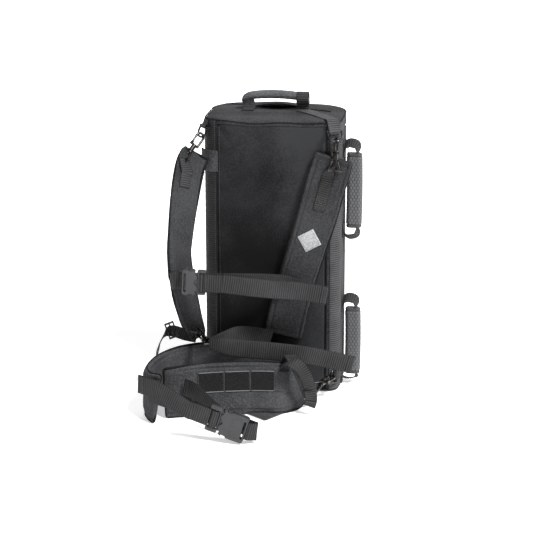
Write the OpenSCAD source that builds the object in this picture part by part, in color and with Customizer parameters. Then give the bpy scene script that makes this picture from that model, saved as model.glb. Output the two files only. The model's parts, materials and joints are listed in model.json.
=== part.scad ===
/* [Bag] */
// Width of the bag
bag_w = 276; // [250:1:300]
// Depth of the bag, from the harness face to the door
bag_d = 172; // [166:1:200]
// Height of the bag, to the top panel
bag_h = 576; // [560:1:600]
// Thickness of the padded fabric walls
wall = 5; // [4:0.5:8]
// Radius of the two corners beside the wearer's back
near_r = 26; // [20:1:30]
// Radius of the two corners on the door side
far_r = 70; // [40:1:74]

/* [Door] */
// Height of the fixed band under the door
sill_h = 34; // [20:1:60]
// Height of the fixed band above the door
header_h = 30; // [20:1:60]
// Gap along the door's edges
door_gap = 0.5; // [0.4:0.1:1]

/* [Hose slot] */
// Length of the hose slot in the top panel
slot_l = 92; // [60:1:110]
// Width of the hose slot
slot_w = 25; // [20:1:40]

/* [Top handle] */
// Length of the grip
grip_l = 137; // [120:1:140]
// Radius of the grip
grip_r = 9; // [7:0.5:10]
// Height of the grip's centre line above the fold line
grip_rise = 25; // [24:1:34]

/* [Side grips] */
// Radius of the padded sleeves
sleeve_r = 11; // [9:0.5:12]
// Distance of a sleeve's centre line from its fold line
sleeve_reach = 21; // [20:1:26]

/* [Webbing] */
// Width of the wide straps
wide_web = 38; // [30:1:40]
// Width of the narrow straps
narrow_web = 25; // [20:1:28]
// Thickness of the straps
web_t = 2; // [1.5:0.1:2.5]

/* [Pads] */
// Width of a shoulder pad
pad_w = 80; // [70:1:85]
// Thickness of a shoulder pad
pad_t = 12; // [8:1:13]
// Height of the hip belt
belt_w = 106; // [90:1:108]
// Thickness of the hip belt
belt_t = 13; // [8:1:14]

/* [Metal rings and hooks] */
// Radius of the wire of the D-rings
ring_wire = 2.2; // [1.8:0.1:2.4]
// Half of the inner width of a D-ring, to the wire's centre
ring_half = 15; // [14:0.5:17]
// Straight length of a D-ring's sides
ring_side = 8; // [6:0.5:10]
// Radius of the wire of the snap hooks
hook_wire = 2.6; // [2.4:0.1:3]
// Half of the inner width of a snap hook, to the wire's centre
hook_half = 8; // [8:0.5:9]

/* [Air cylinder] */
// Radius of the cylinder
tank_r = 70; // [60:1:72]
// Height of the cylinder's shoulder
tank_h = 430; // [380:5:440]

/* [Hidden] */
$fn = 64;

half_w = bag_w / 2;
half_d = bag_d / 2;
near_x = half_w - near_r;
near_y = -half_d + near_r;
far_x = half_w - far_r;
far_y = half_d - far_r;
panel_t = 6;
seam_y = 10;
over = 1;
top_z = bag_h - panel_t;
door_z0 = sill_h + door_gap;
door_z1 = bag_h - header_h - door_gap;

// Handle: fold line just above the top panel
fold_r = 2;
patch_t = 1.6;
fold_z = bag_h + patch_t + 0.4 + fold_r;
grip_x0 = -72;
leg_x = [grip_x0 + narrow_web / 2, grip_x0 + grip_l - narrow_web / 2];

// Side grips: fold line just outside the right side panel
side_y = -20;
side_fold_x = half_w + 5;
neck_r = 2.5;
grip_spans = [[15, 173], [333, 503]];
anchor_h = 28;

// Corner webbing and the rings on it
corner_web_t = 2.5;
tab_t = 4;
tab_r = ring_wire + 2.2;
running = 0.06;
ring_out = near_r + corner_web_t + tab_r;
top_ring_z = 556;
top_ring_deg = [40, 62];
ring_lean = 28;
low_ring_z = 39;
low_ring_right = [-0.42, -0.907, 0];
low_ring_left = [-0.8, -0.6, 0];

// Play of a ring in a hook's eye
eye_play = 2.4;

// Axes of the snap hooks: the point of the ring that each one holds, and its way back from it
hook_reach = 16 + 2 * hook_half - hook_wire - ring_wire - eye_play;
stem_r = 2.4;
stem_l = 13;
barrel_r = 5;
gate_l = 13;
gate_z = 6;
tri_drop = 21;

function unit(v) = v / norm(v);
function pos(s) = [s[0], s[1], s[2]];
function side(s) = [s[3], s[4], s[5]];

// One point of a smooth curve through b and c
function catmull(a, b, c, d, t) =
    0.5 * (2 * b + (c - a) * t + (2 * a - 5 * b + 4 * c - d) * t * t + (3 * b - a - 3 * c + d) * t * t * t);

function smooth(s, k) = concat(
    [for (i = [0:len(s) - 2]) for (j = [0:k - 1])
        catmull(s[max(i - 1, 0)], s[i], s[i + 1], s[min(i + 2, len(s) - 1)], j / k)],
    [s[len(s) - 1]]);

function tangent(p, i) = unit(pos(p[min(i + 1, len(p) - 1)]) - pos(p[max(i - 1, 0)]));

// Flat strap swept through stations: centre, direction across the strap, width
module ribbon(stations, thick, k = 5) {
    path = smooth(stations, k);
    n = len(path);
    rings = [for (i = [0:n - 1])
        let (t = tangent(path, i), raw = side(path[i]), a = unit(raw - (raw * t) * t),
            m = cross(a, t), p = pos(path[i]), w = path[i][6] / 2, h = thick / 2)
        each [p + a * w + m * h, p - a * w + m * h, p - a * w - m * h, p + a * w - m * h]];
    sides = [for (i = [0:n - 2]) for (j = [0:3])
        let (a = 4 * i + j, b = 4 * i + (j + 1) % 4)
        each [[a, b, b + 4], [a, b + 4, a + 4]]];
    last = 4 * n - 4;
    polyhedron(rings, concat([[3, 2, 1, 0]], sides, [[last, last + 1, last + 2, last + 3]]));
}

// Local z along z, local x as near x as it can be
module oriented(p, z, x) {
    zu = unit(z);
    xu = unit(x - (x * zu) * zu);
    yu = cross(zu, xu);
    multmatrix([[xu[0], yu[0], zu[0], p[0]], [xu[1], yu[1], zu[1], p[1]], [xu[2], yu[2], zu[2], p[2]],
        [0, 0, 0, 1]]) children();
}

// Solid of the bag's plan, drawn inwards by inset
module bag_solid(inset, z0, z1) {
    h = z1 - z0;
    nr = near_r - inset;
    fr = far_r - inset;
    translate([0, 0, z0]) union() {
        for (s = [-1, 1]) {
            translate([s * near_x, near_y, 0]) cylinder(r = nr, h = h);
            translate([s * far_x, far_y, 0]) cylinder(r = fr, h = h);
        }
        translate([-near_x, near_y - nr, 0]) cube([2 * near_x, nr + over, h]);
        translate([-half_w + inset, near_y, 0]) cube([bag_w - 2 * inset, far_y - near_y, h]);
        translate([-far_x, far_y - over, 0]) cube([2 * far_x, fr + over, h]);
    }
}

module bag_shell(z0, z1) {
    difference() {
        bag_solid(0, z0, z1);
        bag_solid(wall, z0 - over, z1 + over);
    }
}

module region(x0, x1, y0, y1) {
    translate([x0, y0, -over]) cube([x1 - x0, y1 - y0, bag_h + 2 * over]);
}

module base_panel() {
    color("#1d1f21") bag_solid(0, 0, panel_t);
}

module back_panel() {
    color("#26282a") intersection() {
        bag_shell(panel_t, top_z);
        region(-near_x, near_x, -half_d - over, near_y);
    }
}

module side_panel(s) {
    color("#232527") intersection() {
        bag_shell(panel_t, top_z);
        if (s < 0) region(-half_w - over, -near_x, -half_d - over, seam_y);
        else region(near_x, half_w + over, -half_d - over, seam_y);
    }
}

module side_panel_left() { side_panel(-1); }

module side_panel_right() { side_panel(1); }

module hose_slot(z0, z1) {
    x0 = (leg_x[0] + leg_x[1]) / 2;
    translate([x0, 28, z0]) {
        translate([-(slot_l - slot_w) / 2, -slot_w / 2, 0]) cube([slot_l - slot_w, slot_w, z1 - z0]);
        for (s = [-1, 1]) translate([s * (slot_l - slot_w) / 2, 0, 0]) cylinder(d = slot_w, h = z1 - z0);
    }
}

module top_panel() {
    color("#202224") difference() {
        bag_solid(0, top_z, bag_h);
        hose_slot(top_z - over, bag_h + over);
    }
}

module front_boxing() {
    color("#202224") for (z = [[panel_t, sill_h], [bag_h - header_h, top_z]]) intersection() {
        bag_shell(z[0], z[1]);
        region(-half_w - over, half_w + over, seam_y, half_d + over);
    }
}

module front_cover() {
    color("#202224") intersection() {
        bag_shell(door_z0, door_z1);
        region(-half_w - over, half_w + over, seam_y + door_gap, half_d + over);
    }
}

module corner_webbing() {
    strip_deg = 84;
    color("#2b2d30") for (s = [-1, 1]) translate([s * near_x, near_y, 8])
        rotate(s < 0 ? 225 - strip_deg / 2 : 315 - strip_deg / 2)
            rotate_extrude(angle = strip_deg) translate([near_r, 0]) square([corner_web_t, top_z - 8]);
}

module load_straps() {
    color("#2b2d30") for (s = [-1, 1]) {
        from = s < 0 ? [leg_x[0] - 4, -4] : [leg_x[1] + 4, -4];
        to = [s * near_x, near_y] + near_r * [s * cos(top_deg(s)), -sin(top_deg(s))];
        run = to - from;
        translate([from[0], from[1], bag_h]) rotate(atan2(run[1], run[0]))
            translate([0, -narrow_web / 2, 0]) cube([norm(run), narrow_web, patch_t]);
    }
}

module handle_anchors() {
    color("#2b2d30") for (x = leg_x) translate([x - narrow_web / 2, -14, bag_h])
        cube([narrow_web, 28, patch_t]);
}

module handle_webbing() {
    color("#2b2d30") for (x = leg_x) {
        translate([x, 0, fold_z]) rotate([0, 90, 0]) cylinder(r = fold_r, h = narrow_web, center = true);
        translate([x - narrow_web / 2, -web_t / 2, fold_z]) cube([narrow_web, web_t, grip_rise]);
    }
}

module handle_grip() {
    color("#1c1d1f") translate([grip_x0, 0, fold_z + grip_rise]) rotate([0, 90, 0]) union() {
        translate([0, 0, 3]) cylinder(r = grip_r, h = grip_l - 6);
        for (z = [0, grip_l - 3]) translate([0, 0, z]) cylinder(r = grip_r - 2, h = 3);
    }
}

// Way out of a near corner, at an angle from the side face
function corner_out(s, deg) = [s * cos(deg), -sin(deg), 0];
function ring_pos(s, deg, z) = [s * near_x, near_y, z] + ring_out * corner_out(s, deg);
function top_deg(s) = top_ring_deg[s < 0 ? 0 : 1];
function lean_dir(s) = sin(ring_lean) * corner_out(s, top_deg(s)) - [0, 0, cos(ring_lean)];

module top_bar(s, way) {
    deg = top_deg(s);
    oriented(ring_pos(s, deg, top_ring_z), way, [sin(deg), s * cos(deg), 0]) children();
}

module low_bar(s) {
    oriented(ring_pos(s, 45, low_ring_z), s > 0 ? low_ring_right : low_ring_left, [0, 0, 1]) children();
}

module ring_tabs() {
    color("#2b2d30") for (s = [-1, 1]) {
        top_bar(s, [0, 0, -1]) tab(bag_h + patch_t - top_ring_z);
        low_tab(s);
    }
}

module tab(rise) {
    difference() {
        union() {
            rotate([0, 90, 0]) cylinder(r = tab_r, h = narrow_web, center = true);
            translate([-narrow_web / 2, -tab_r, -rise]) cube([narrow_web, tab_t, rise]);
        }
        rotate([0, 90, 0]) cylinder(r = ring_wire + running, h = narrow_web + 2, center = true);
    }
}

// The low tabs hold an upright bar, so they run level round the corner to the side panel
module low_tab(s) {
    mirror([s < 0 ? 1 : 0, 0, 0]) translate([near_x, near_y, low_ring_z - narrow_web / 2]) rotate(-45)
        difference() {
            union() {
                rotate_extrude(angle = 50) translate([near_r + corner_web_t, 0]) square([web_t, narrow_web]);
                translate([ring_out, 0, 0]) cylinder(r = tab_r, h = narrow_web);
            }
            translate([ring_out, 0, -over]) cylinder(r = ring_wire + running, h = narrow_web + 2 * over);
        }
}

// The bar is a little thicker than the bent part of the ring
module d_ring() {
    bent = ring_wire - 0.15;
    color("#151617") union() {
        rotate([0, 90, 0]) cylinder(r = ring_wire, h = 2 * (ring_half + ring_wire), center = true);
        for (s = [-1, 1]) translate([s * ring_half, 0, 0]) cylinder(r = bent, h = ring_side);
        translate([0, 0, ring_side]) rotate([90, 0, 0])
            rotate_extrude(angle = 180) translate([ring_half, 0]) circle(r = bent);
    }
}

module d_ring_top_left() { top_bar(-1, lean_dir(-1)) d_ring(); }

module d_ring_top_right() { top_bar(1, lean_dir(1)) d_ring(); }

module d_ring_low_left() { low_bar(-1) d_ring(); }

module d_ring_low_right() { low_bar(1) d_ring(); }

// Where the snap hooks sit: the wire that each holds, the way from it to the strap, the hook's plane
ring_drop = ring_side + ring_half;
function top_wire(s) = ring_pos(s, top_deg(s), top_ring_z) + ring_drop * lean_dir(s);
low_wire = ring_pos(1, 45, low_ring_z) + ring_drop * low_ring_right;
hook_tr = [top_wire(1), [-0.02, -0.30, -0.95], -corner_out(1, top_deg(1))];
hook_tl = [top_wire(-1), [-0.44, -0.60, -0.67], -corner_out(-1, top_deg(-1))];
hook_lr = [low_wire, [-0.47, -0.87, -0.12], [-0.87, 0.47, 0]];
hook_be = [[-142, -146, 138], [0.55, -0.8, -0.1], [0, 0.1, 1]];

// Hook frame: z runs from the swivel to the eye, x across the eye
module at_hook(h) {
    back = unit(h[1]);
    oriented(h[0] + back * hook_reach, -back, h[2]) children();
}

module hook() {
    top = 16 + hook_half;
    color("#8b8d8e") union() {
        translate([0, 0, -stem_l]) cylinder(r = stem_r, h = stem_l + 1);
        translate([0, 0, -stem_l - 2]) cylinder(r = 4, h = 2);
        cylinder(r = 4.5, h = 3);
        translate([-hook_half + 3.4, -2.4, 1]) cube([2 * hook_half - 3.4, 4.8, 4]);
        translate([-hook_half - 2.4, -2.4, 1]) cube([2 * hook_half, 4.8, 1.9]);
        translate([hook_half, 0, 2]) cylinder(r = hook_wire, h = top - 2);
        translate([0, 0, top]) rotate([90, 0, 0])
            rotate_extrude(angle = 180) translate([hook_half, 0]) circle(r = hook_wire);
        translate([-hook_half, 0, gate_z + gate_l + 0.6]) cylinder(r = hook_wire, h = top - gate_z - gate_l - 0.6);
        gate_cheeks();
    }
}

// Two ears that hold the gate's pivot pin
module gate_cheeks() {
    for (s = [-1, 1]) translate([-hook_half, s * 2.9, gate_z]) rotate([90, 0, 0])
        cylinder(r = 2.2, h = 1, center = true);
    for (s = [-1, 1]) translate([-hook_half - 2.2, s * 2.9 - 0.5, 1]) cube([4.4, 1, gate_z - 1]);
    translate([-hook_half, 0, gate_z]) rotate([90, 0, 0]) cylinder(r = 0.9, h = 6.8, center = true);
}

module gate() {
    color("#7a7c7e") difference() {
        union() {
            translate([-hook_half, 0, gate_z]) rotate([90, 0, 0]) cylinder(r = 2.1, h = 4.2, center = true);
            translate([-hook_half, 0, gate_z]) cylinder(r = 2, h = gate_l);
        }
        translate([-hook_half, 0, gate_z]) rotate([90, 0, 0]) cylinder(r = 0.97, h = 10, center = true);
    }
}

module hook_top_left() { at_hook(hook_tl) hook(); }

module hook_top_right() { at_hook(hook_tr) hook(); }

module hook_low_right() { at_hook(hook_lr) hook(); }

module hook_belly() { at_hook(hook_be) hook(); }

module gate_top_left() { at_hook(hook_tl) gate(); }

module gate_top_right() { at_hook(hook_tr) gate(); }

module gate_low_right() { at_hook(hook_lr) gate(); }

module gate_belly() { at_hook(hook_be) gate(); }

// Barrel that the hook turns in, with the three-sided loop for the webbing
module swivel_ring() {
    bar = narrow_web + 4;
    legs_z = -12 - tri_drop;
    difference() {
        translate([0, 0, -11]) cylinder(r = barrel_r, h = 10);
        translate([0, 0, -12]) cylinder(r = stem_r + running, h = 12);
    }
    for (s = [-1, 1]) {
        reach = bar / 2 - barrel_r;
        translate([0, s * (barrel_r - 0.6), -7]) rotate([-s * (180 - atan2(reach, -legs_z - 7)), 0, 0])
            cylinder(r = 1.8, h = norm([reach, -legs_z - 7]));
    }
    translate([0, 0, legs_z]) rotate([90, 0, 0]) cylinder(r = 1.8, h = bar, center = true);
}

module swivel_rings() {
    color("#8b8d8e") for (h = [hook_tl, hook_tr, hook_lr, hook_be]) at_hook(h) swivel_ring();
}

// Point on a hook's axis, below its swivel
function web_bar(h) = h[0] + unit(h[1]) * (hook_reach + 12 + tri_drop);

// Shoulder pads, from the top hook down to the belt
pad_path_right = [
    [128, -94, 504, 0.96, 0, -0.27, pad_w], [113, -98, 452, 0.96, 0, -0.27, pad_w + 2],
    [97, -102, 390, 0.95, 0, -0.30, pad_w + 2], [77, -104, 320, 0.95, 0, -0.30, pad_w],
    [56, -104, 250, 0.95, 0, -0.28, pad_w - 2], [40, -100, 190, 0.97, 0, -0.22, pad_w],
    [26, -96, 124, 0.98, 0, -0.18, pad_w]];
pad_path_left = [
    [-153, -90, 503, 0.90, 0.38, -0.20, 58], [-162, -119, 476, 0.80, 0.58, -0.16, 66],
    [-169, -147, 414, 0.64, 0.76, -0.10, 72], [-174, -164, 350, 0.54, 0.83, -0.06, 72],
    [-175, -172, 305, 0.48, 0.87, -0.02, 72], [-170, -166, 245, 0.48, 0.87, 0.06, 72],
    [-164, -150, 198, 0.50, 0.85, 0.1, 66], [-158, -134, 158, 0.60, 0.78, 0.12, 54],
    [-148, -121, 119, 0.8, 0.58, 0.10, 36]];

module shoulder_pad_left() { color("#1f2123") ribbon(pad_path_left, pad_t); }

module shoulder_pad_right() { color("#1f2123") ribbon(pad_path_right, pad_t); }

// Station on a pad's outer face, at step i of its smooth path, lifted off it
pad_steps = 5;
function on_pad(stations, i, lift, w) =
    let (path = smooth(stations, pad_steps), t = tangent(path, i), raw = side(path[i]),
        a = unit(raw - (raw * t) * t), p = pos(path[i]) - cross(a, t) * (pad_t / 2 + lift))
    [p[0], p[1], p[2], a[0], a[1], a[2], w];

// Narrow webbing from a hook's loop down onto a pad's outer face
module anchor_webbing(hook, stations, steps) {
    b = web_bar(hook) - [0, 2.8, 0];
    lift = web_t / 2 + 0.7;
    down = [for (i = steps) on_pad(stations, i, lift, narrow_web)];
    start = [b[0], b[1], b[2], down[0][3], down[0][4], down[0][5], narrow_web];
    color("#2b2d30") ribbon(concat([start], down), web_t);
}

module anchor_webbing_left() { anchor_webbing(hook_tl, pad_path_left, [6:9]); }

module anchor_webbing_right() { anchor_webbing(hook_tr, pad_path_right, [4:2:10]); }

// Sternum strap: a patch on the left pad, a buckle, a far layer and a free tail
sternum_mid = [-140, -203, 264];
sternum_dir = unit([1, 0.12, -0.04]);

// Half the room that the plug's frame takes between the two layers of webbing
layer_gap = 6.4;

module sternum_anchor() {
    p = sternum_mid - sternum_dir * 22;
    color("#2b2d30") ribbon([
        [-187, -207.5, 264, 0, 0, 1, wide_web], [-181, -198, 264, 0, 0, 1, wide_web],
        [-173, -196.5, 264, 0, 0, 1, wide_web],
        [p[0], p[1], p[2], 0, 0, 1, wide_web]], web_t + 1, 6);
}

// Stations of webbing that runs straight past a plug, from its end
function straight_web(p, way, steps, up) =
    [for (d = concat([0], steps)) let (q = p + way * d) [q[0], q[1], q[2], up[0], up[1], up[2], wide_web]];

function reversed(list) = [for (i = [len(list) - 1:-1:0]) list[i]];

module sternum_strap() {
    near = sternum_mid + sternum_dir * 20 - [0, layer_gap, 0];
    far = sternum_mid + sternum_dir * 10 + [0, layer_gap, 0];
    color("#2b2d30") union() {
        ribbon([
            each straight_web(near, sternum_dir, [32, 44], [0, 0, 1]),
            [-34, -190, 254, 0, 0.02, 1, wide_web], [10, -174, 246, 0, 0.04, 1, wide_web],
            [50, -158, 240, 0, 0.05, 1, wide_web], [85, -148, 234, 0, 0, 1, wide_web],
            [121, -142, 228, 0, 0, 1, wide_web]], web_t, 6);
        ribbon([
            each straight_web(far, sternum_dir, [42, 52], [0, 0, 1]),
            [-34, -170, 257, 0, 0, 1, wide_web], [4, -138, 248, 0, 0, 1, wide_web],
            [30, -117, 240, 0.1, 0, 1, wide_web], [58, -112, 232, 0.2, 0, 1, wide_web]], web_t, 6);
    }
}

// Belly strap: hung from its own snap hook, with a folded far layer and a long free tail
module belly_strap() {
    b = web_bar(hook_be);
    color("#2b2d30") union() {
        ribbon([
            [b[0] - 2, b[1] - 2, b[2], 0, 0, 1, narrow_web], [-86, -198, 130, 0, 0, 1, wide_web - 5],
            [-50, -196, 125, 0, 0, 1, wide_web], [8, -188, 120, 0, 0, 1, wide_web],
            [68, -174, 111, 0.1, 0, 1, wide_web], [120, -155, 97, 0.22, 0, 1, wide_web],
            [175, -140, 82, 0.28, 0, 1, wide_web]], web_t, 6);
        ribbon([
            [b[0] + 2.6, b[1] + 2.6, b[2], 0, 0, 1, narrow_web], [-84, -176, 137, 0, 0, 1, wide_web - 4],
            [-62, -148, 137, 0, 0, 1, wide_web], [-30, -122, 128, 0, 0, 1, wide_web],
            [2, -106, 118, 0.2, 0, 1, wide_web]], web_t, 6);
    }
}

// Hip belt: one closed band on the floor, from the tip of the right wing round the back to the left one
belt_lift = 0.4;
function belt_at(x, y, lean, cut = 0) = [x, y, (belt_w - cut) / 2 + belt_lift, 0, lean, 1, belt_w - cut];
belt_path = [
    belt_at(-188, -277, 0.14, 12), belt_at(-120, -250, 0.18), belt_at(-28, -226, 0.22),
    belt_at(36, -218, 0.18), belt_at(68, -196, 0.08, 12), belt_at(75, -162, 0, 22),
    belt_at(62, -124, 0, 20), belt_at(30, -104, 0, 8), belt_at(-40, -98, 0), belt_at(-120, -106, 0),
    belt_at(-180, -140, 0), belt_at(-214, -195, 0.02), belt_at(-226, -255, 0.05),
    belt_at(-218, -295, 0.08), belt_at(-198, -313, 0.1)];

module hip_belt() { color("#1b1d1f") ribbon(belt_path, belt_t, 4); }

// Strip with fold-over cells on the right wing's outer face
module gear_loop_strip() {
    color("#303336") ribbon([
        [-128, -261.5, 68, 0, 0.20, 1, 56], [-100, -252.5, 68, 0, 0.22, 1, 56],
        [-28, -231.5, 68, 0, 0.22, 1, 56], [30, -227.5, 68, 0, 0.2, 1, 56]], 3, 5);
}

// Hip buckle and its webbing
hip_mid = [-43, -397, 42];
hip_dir = unit([0.93, -0.08, -0.30]);
hip_up = [0.30, -0.10, 0.95];

module belt_webbing_left() {
    near = hip_mid - hip_dir * 36 - [0, layer_gap, 0];
    far = hip_mid - hip_dir * 18 + [0, layer_gap, 0];
    color("#2b2d30") union() {
        ribbon([
            [-226, -350, 97, 0.02, 0, 1, wide_web], [-180, -376, 93, 0.15, 0, 1, wide_web],
            each reversed(straight_web(near, -hip_dir, [30, 48], hip_up))], web_t, 6);
        ribbon([
            [-212, -322, 66, 0.0, 0, 1, wide_web], [-180, -348, 70, 0.1, 0, 1, wide_web],
            each reversed(straight_web(far, -hip_dir, [50, 64], hip_up))], web_t, 6);
    }
}

module belt_webbing_right() {
    p = hip_mid + hip_dir * 36;
    q = hip_mid + hip_dir * 46;
    color("#2b2d30") ribbon([
        [-150, -278, 66, 0, 0.3, 1, wide_web], [-124, -298, 64, 0.3, 0, 1, wide_web],
        [-92, -330, 50, 0.4, 0, 0.9, wide_web], [-50, -360, 34, 0.4, -0.1, 0.9, wide_web],
        [-4, -376, 27, 0.1, -0.1, 1, wide_web], [14, -388, 25, 0.1, -0.1, 1, wide_web],
        [q[0], q[1], q[2], 0.25, -0.1, 0.95, wide_web],
        [p[0], p[1], p[2], 0.30, -0.1, 0.95, wide_web]], web_t, 6);
}

// Side-release buckle, socket half: x along the webbing, y through the buckle, z across the webbing
buckle_t = 13;
prong_l = 20;
slot_gap = 0.6;

module buckle_frame(mid, dir, up) {
    z = unit(up - (up * dir) * dir);
    oriented(mid, z, dir) children();
}

module socket(l, w) {
    web_half = wide_web / 2 + slot_gap;
    color("#303234") difference() {
        union() {
            translate([0, -buckle_t / 2, -w / 2 + 3]) cube([l, buckle_t, w - 6]);
            translate([4, -buckle_t / 2 + 1.5, -w / 2]) cube([l - 12, buckle_t - 3, w]);
        }
        translate([-over, -4, -w / 2 + 6]) cube([prong_l + 3, 8, w - 12]);
        for (s = [-1, 1]) translate([9, -4, s * (w / 2 - 3) - 4]) cube([9, 8, 8]);
        translate([l - 7, -buckle_t, -web_half]) cube([4.4, 2 * buckle_t, 2 * web_half]);
        translate([l - 5, -2.2, -web_half]) cube([7, 4.4, 2 * web_half]);
    }
}

// Plug half: a frame for the webbing, a tongue and two prongs inside the socket
module plug(w, frame_l) {
    web_half = wide_web / 2 + slot_gap;
    color("#2c2e30") difference() {
        union() {
            translate([-frame_l - 0.5, -4.5, -w / 2 + 1]) cube([frame_l, 9, w - 2]);
            for (z = [-w / 2 + 8, w / 2 - 13]) translate([-2, -3, z]) cube([prong_l, 6, 5]);
            translate([-2, -2.4, -4]) cube([prong_l - 2, 4.8, 8]);
        }
        for (x = [-frame_l + 3, -frame_l / 2 + 1]) translate([x, -5, -web_half])
            cube([frame_l / 2 - 5, 10, 2 * web_half]);
    }
}

sternum_w = 54;
sternum_l = 30;
sternum_frame_l = 17;
hip_w = 58;
hip_l = 54;
hip_frame_l = 24;

module at_sternum() {
    buckle_frame(sternum_mid + sternum_dir * 6, -sternum_dir, [0, 0, 1]) children();
}

module at_hip() {
    buckle_frame(hip_mid - hip_dir * 14, hip_dir, hip_up) children();
}

module sternum_socket() { at_sternum() socket(sternum_l, sternum_w); }

module sternum_plug() { at_sternum() plug(sternum_w, sternum_frame_l); }

module hip_socket() { at_hip() socket(hip_l, hip_w); }

module hip_plug() { at_hip() plug(hip_w, hip_frame_l); }

// Stabiliser: from the foot of the left pad over to the left wing, through a ladder lock
lock_mid = [-201, -138, 138];

module stabiliser_strap() {
    color("#2b2d30") ribbon([
        [-150, -128, 122, 0.1, 0, 1, narrow_web], [-174, -136, 129, 0.1, 0, 1, narrow_web],
        [-198, -139.5, 137, 0.3, 0, 0.95, narrow_web], [-212, -148, 132, 0.5, 0.1, 0.8, narrow_web],
        [-222, -166, 112, 0.3, 0.2, 0.9, narrow_web], [-223.5, -190, 84, 0, 0.3, 0.9, narrow_web]],
        web_t, 5);
}

// Ladder lock, and the ring on the pad's foot that the belly hook holds
module pad_hardware() {
    back = unit(hook_be[1]);
    across = cross(-back, hook_be[2]);
    color("#2c2e30") oriented(lock_mid, [-0.35, 0.1, 0.93], [-0.9, -0.3, -0.3]) difference() {
        translate([-10, -3, -17]) cube([20, 6, 34]);
        for (x = [-7, 1.5]) translate([x, -4, -narrow_web / 2 - 1]) cube([5.5, 8, narrow_web + 2]);
    }
    oriented(hook_be[0] - back * (ring_side + ring_half), back, across) d_ring();
}

glide_mid = [92, -178, 33];

module tri_glide() {
    color("#2c2e30") oriented(glide_mid, [0.1, 0.1, 1], [0.1, 1, 0.05]) difference() {
        translate([-12, -3, -18]) cube([24, 6, 36]);
        for (x = [-9, 2]) translate([x, -4, -narrow_web / 2 - 1.5]) cube([7, 8, narrow_web + 3]);
    }
}

// Lower strap: from the low hook through the tri-glide, up outside the belt and over its top edge
module lower_strap_right() {
    b = web_bar(hook_lr);
    color("#2b2d30") ribbon([
        [b[0] + 2.5, b[1], b[2], 0, 0, 1, narrow_web], [94, -170, 32, 0.1, 0, 1, narrow_web],
        [91, -190, 35, 0.2, 0.3, 0.9, narrow_web], [91, -214, 48, 0.6, 0.4, 0.6, narrow_web],
        [86, -232, 74, 0.85, 0.3, 0.25, narrow_web], [75, -238, 102, 0.9, 0.3, 0.1, narrow_web],
        [62, -226, 119, 0.9, 0.3, 0, narrow_web], [51, -200, 116, 0.9, 0.2, 0, narrow_web],
        [46, -186, 92, 0.95, 0.2, 0, narrow_web]], web_t, 5);
}

// Side grips on the right: a padded sleeve on a webbing loop
module side_anchors() {
    color("#2b2d30") for (g = grip_spans) for (z = g)
        translate([half_w, side_y - narrow_web / 2, z - anchor_h / 2]) cube([patch_t, narrow_web, anchor_h]);
}

module side_grip(g) {
    z0 = g[0];
    z1 = g[1];
    sleeve_x = side_fold_x + sleeve_reach;
    color("#1c1d1f") union() {
        translate([sleeve_x, side_y, z0 + 8]) cylinder(r = sleeve_r, h = z1 - z0 - 16);
        for (z = [z0 + 6, z1 - 8]) translate([sleeve_x, side_y, z]) cylinder(r = sleeve_r - 2, h = 2);
        for (z = [z0 + 2, z1 - 6]) {
            translate([side_fold_x, side_y, z - 3]) cylinder(r = neck_r, h = 10);
            translate([side_fold_x, side_y - neck_r, z]) cube([sleeve_reach, 2 * neck_r, 4]);
            translate([sleeve_x, side_y, z]) cylinder(r = neck_r + 2, h = 4);
        }
    }
}

module grip_upper() { side_grip(grip_spans[1]); }

module grip_lower() { side_grip(grip_spans[0]); }

// Zip along the door's right edge
teeth_t = 1.2;
zip_x = half_w + teeth_t + 0.5;
slider_z = 500;

module zipper_teeth() {
    color("#17181a") translate([half_w, seam_y - 4, door_z0]) cube([teeth_t, 4, door_z1 - door_z0]);
}

module cover_zipper_teeth() {
    color("#17181a") translate([half_w, seam_y + door_gap, door_z0]) cube([teeth_t, 4, door_z1 - door_z0]);
}

module zip_slider() {
    color("#7a7c7e") union() {
        translate([zip_x, seam_y - 4, slider_z]) cube([2.4, 10, 16]);
        for (y = [seam_y - 3.6, seam_y + 4.2]) translate([zip_x + 2, y, slider_z + 2]) cube([4.6, 1.4, 3.6]);
        translate([zip_x + 5, seam_y + 1, slider_z + 3.8]) rotate([90, 0, 0])
            cylinder(r = 0.9, h = 8.4, center = true);
    }
}

module zip_pull() {
    color("#2b2d30") translate([zip_x + 5, seam_y + 1, slider_z + 3.8]) difference() {
        union() {
            rotate([90, 0, 0]) cylinder(r = 2, h = 5.4, center = true);
            translate([-0.8, -2.7, -34]) cube([1.8, 5.4, 34]);
        }
        rotate([90, 0, 0]) cylinder(r = 0.97, h = 8, center = true);
    }
}

// Breathing-air cylinder and its valve, inside the bag
tank_z = 24;
neck_z = tank_z + tank_h + 20;

module air_tank() {
    color("#c9a227") rotate_extrude() polygon(concat(
        [[0, tank_z], [tank_r - 20, tank_z]],
        [for (a = [-75:15:0]) [tank_r - 20 + 20 * cos(a), tank_z + 20 + 20 * sin(a)]],
        [for (a = [0:10:70]) [tank_r - 45 + 45 * cos(a), tank_h - 20 + 45 * sin(a)]],
        [[18, neck_z - 12], [18, neck_z], [0, neck_z]]));
}

module valve_body() {
    color("#b9bbbd") union() {
        translate([0, 0, neck_z]) round_bar(17, 34);
        translate([0, 0, neck_z + 17]) rotate([0, 90, 0]) round_bar(11, 34);
        translate([34, 0, neck_z + 17]) rotate([0, 90, 0]) round_bar(4, 14);
    }
}

module round_bar(r, h) {
    rotate_extrude() square([r, h]);
}

module hand_wheel() {
    color("#202224") translate([37, 0, neck_z + 17]) rotate([0, 90, 0]) rotate_extrude()
        translate([4 + running, 0]) square([22 - 4 - running, 14]);
}

module pressure_gauge() {
    color("#e8e8e6") translate([0, -15, neck_z + 17]) rotate([90, 0, 0]) round_bar(16, 12);
}

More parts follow.
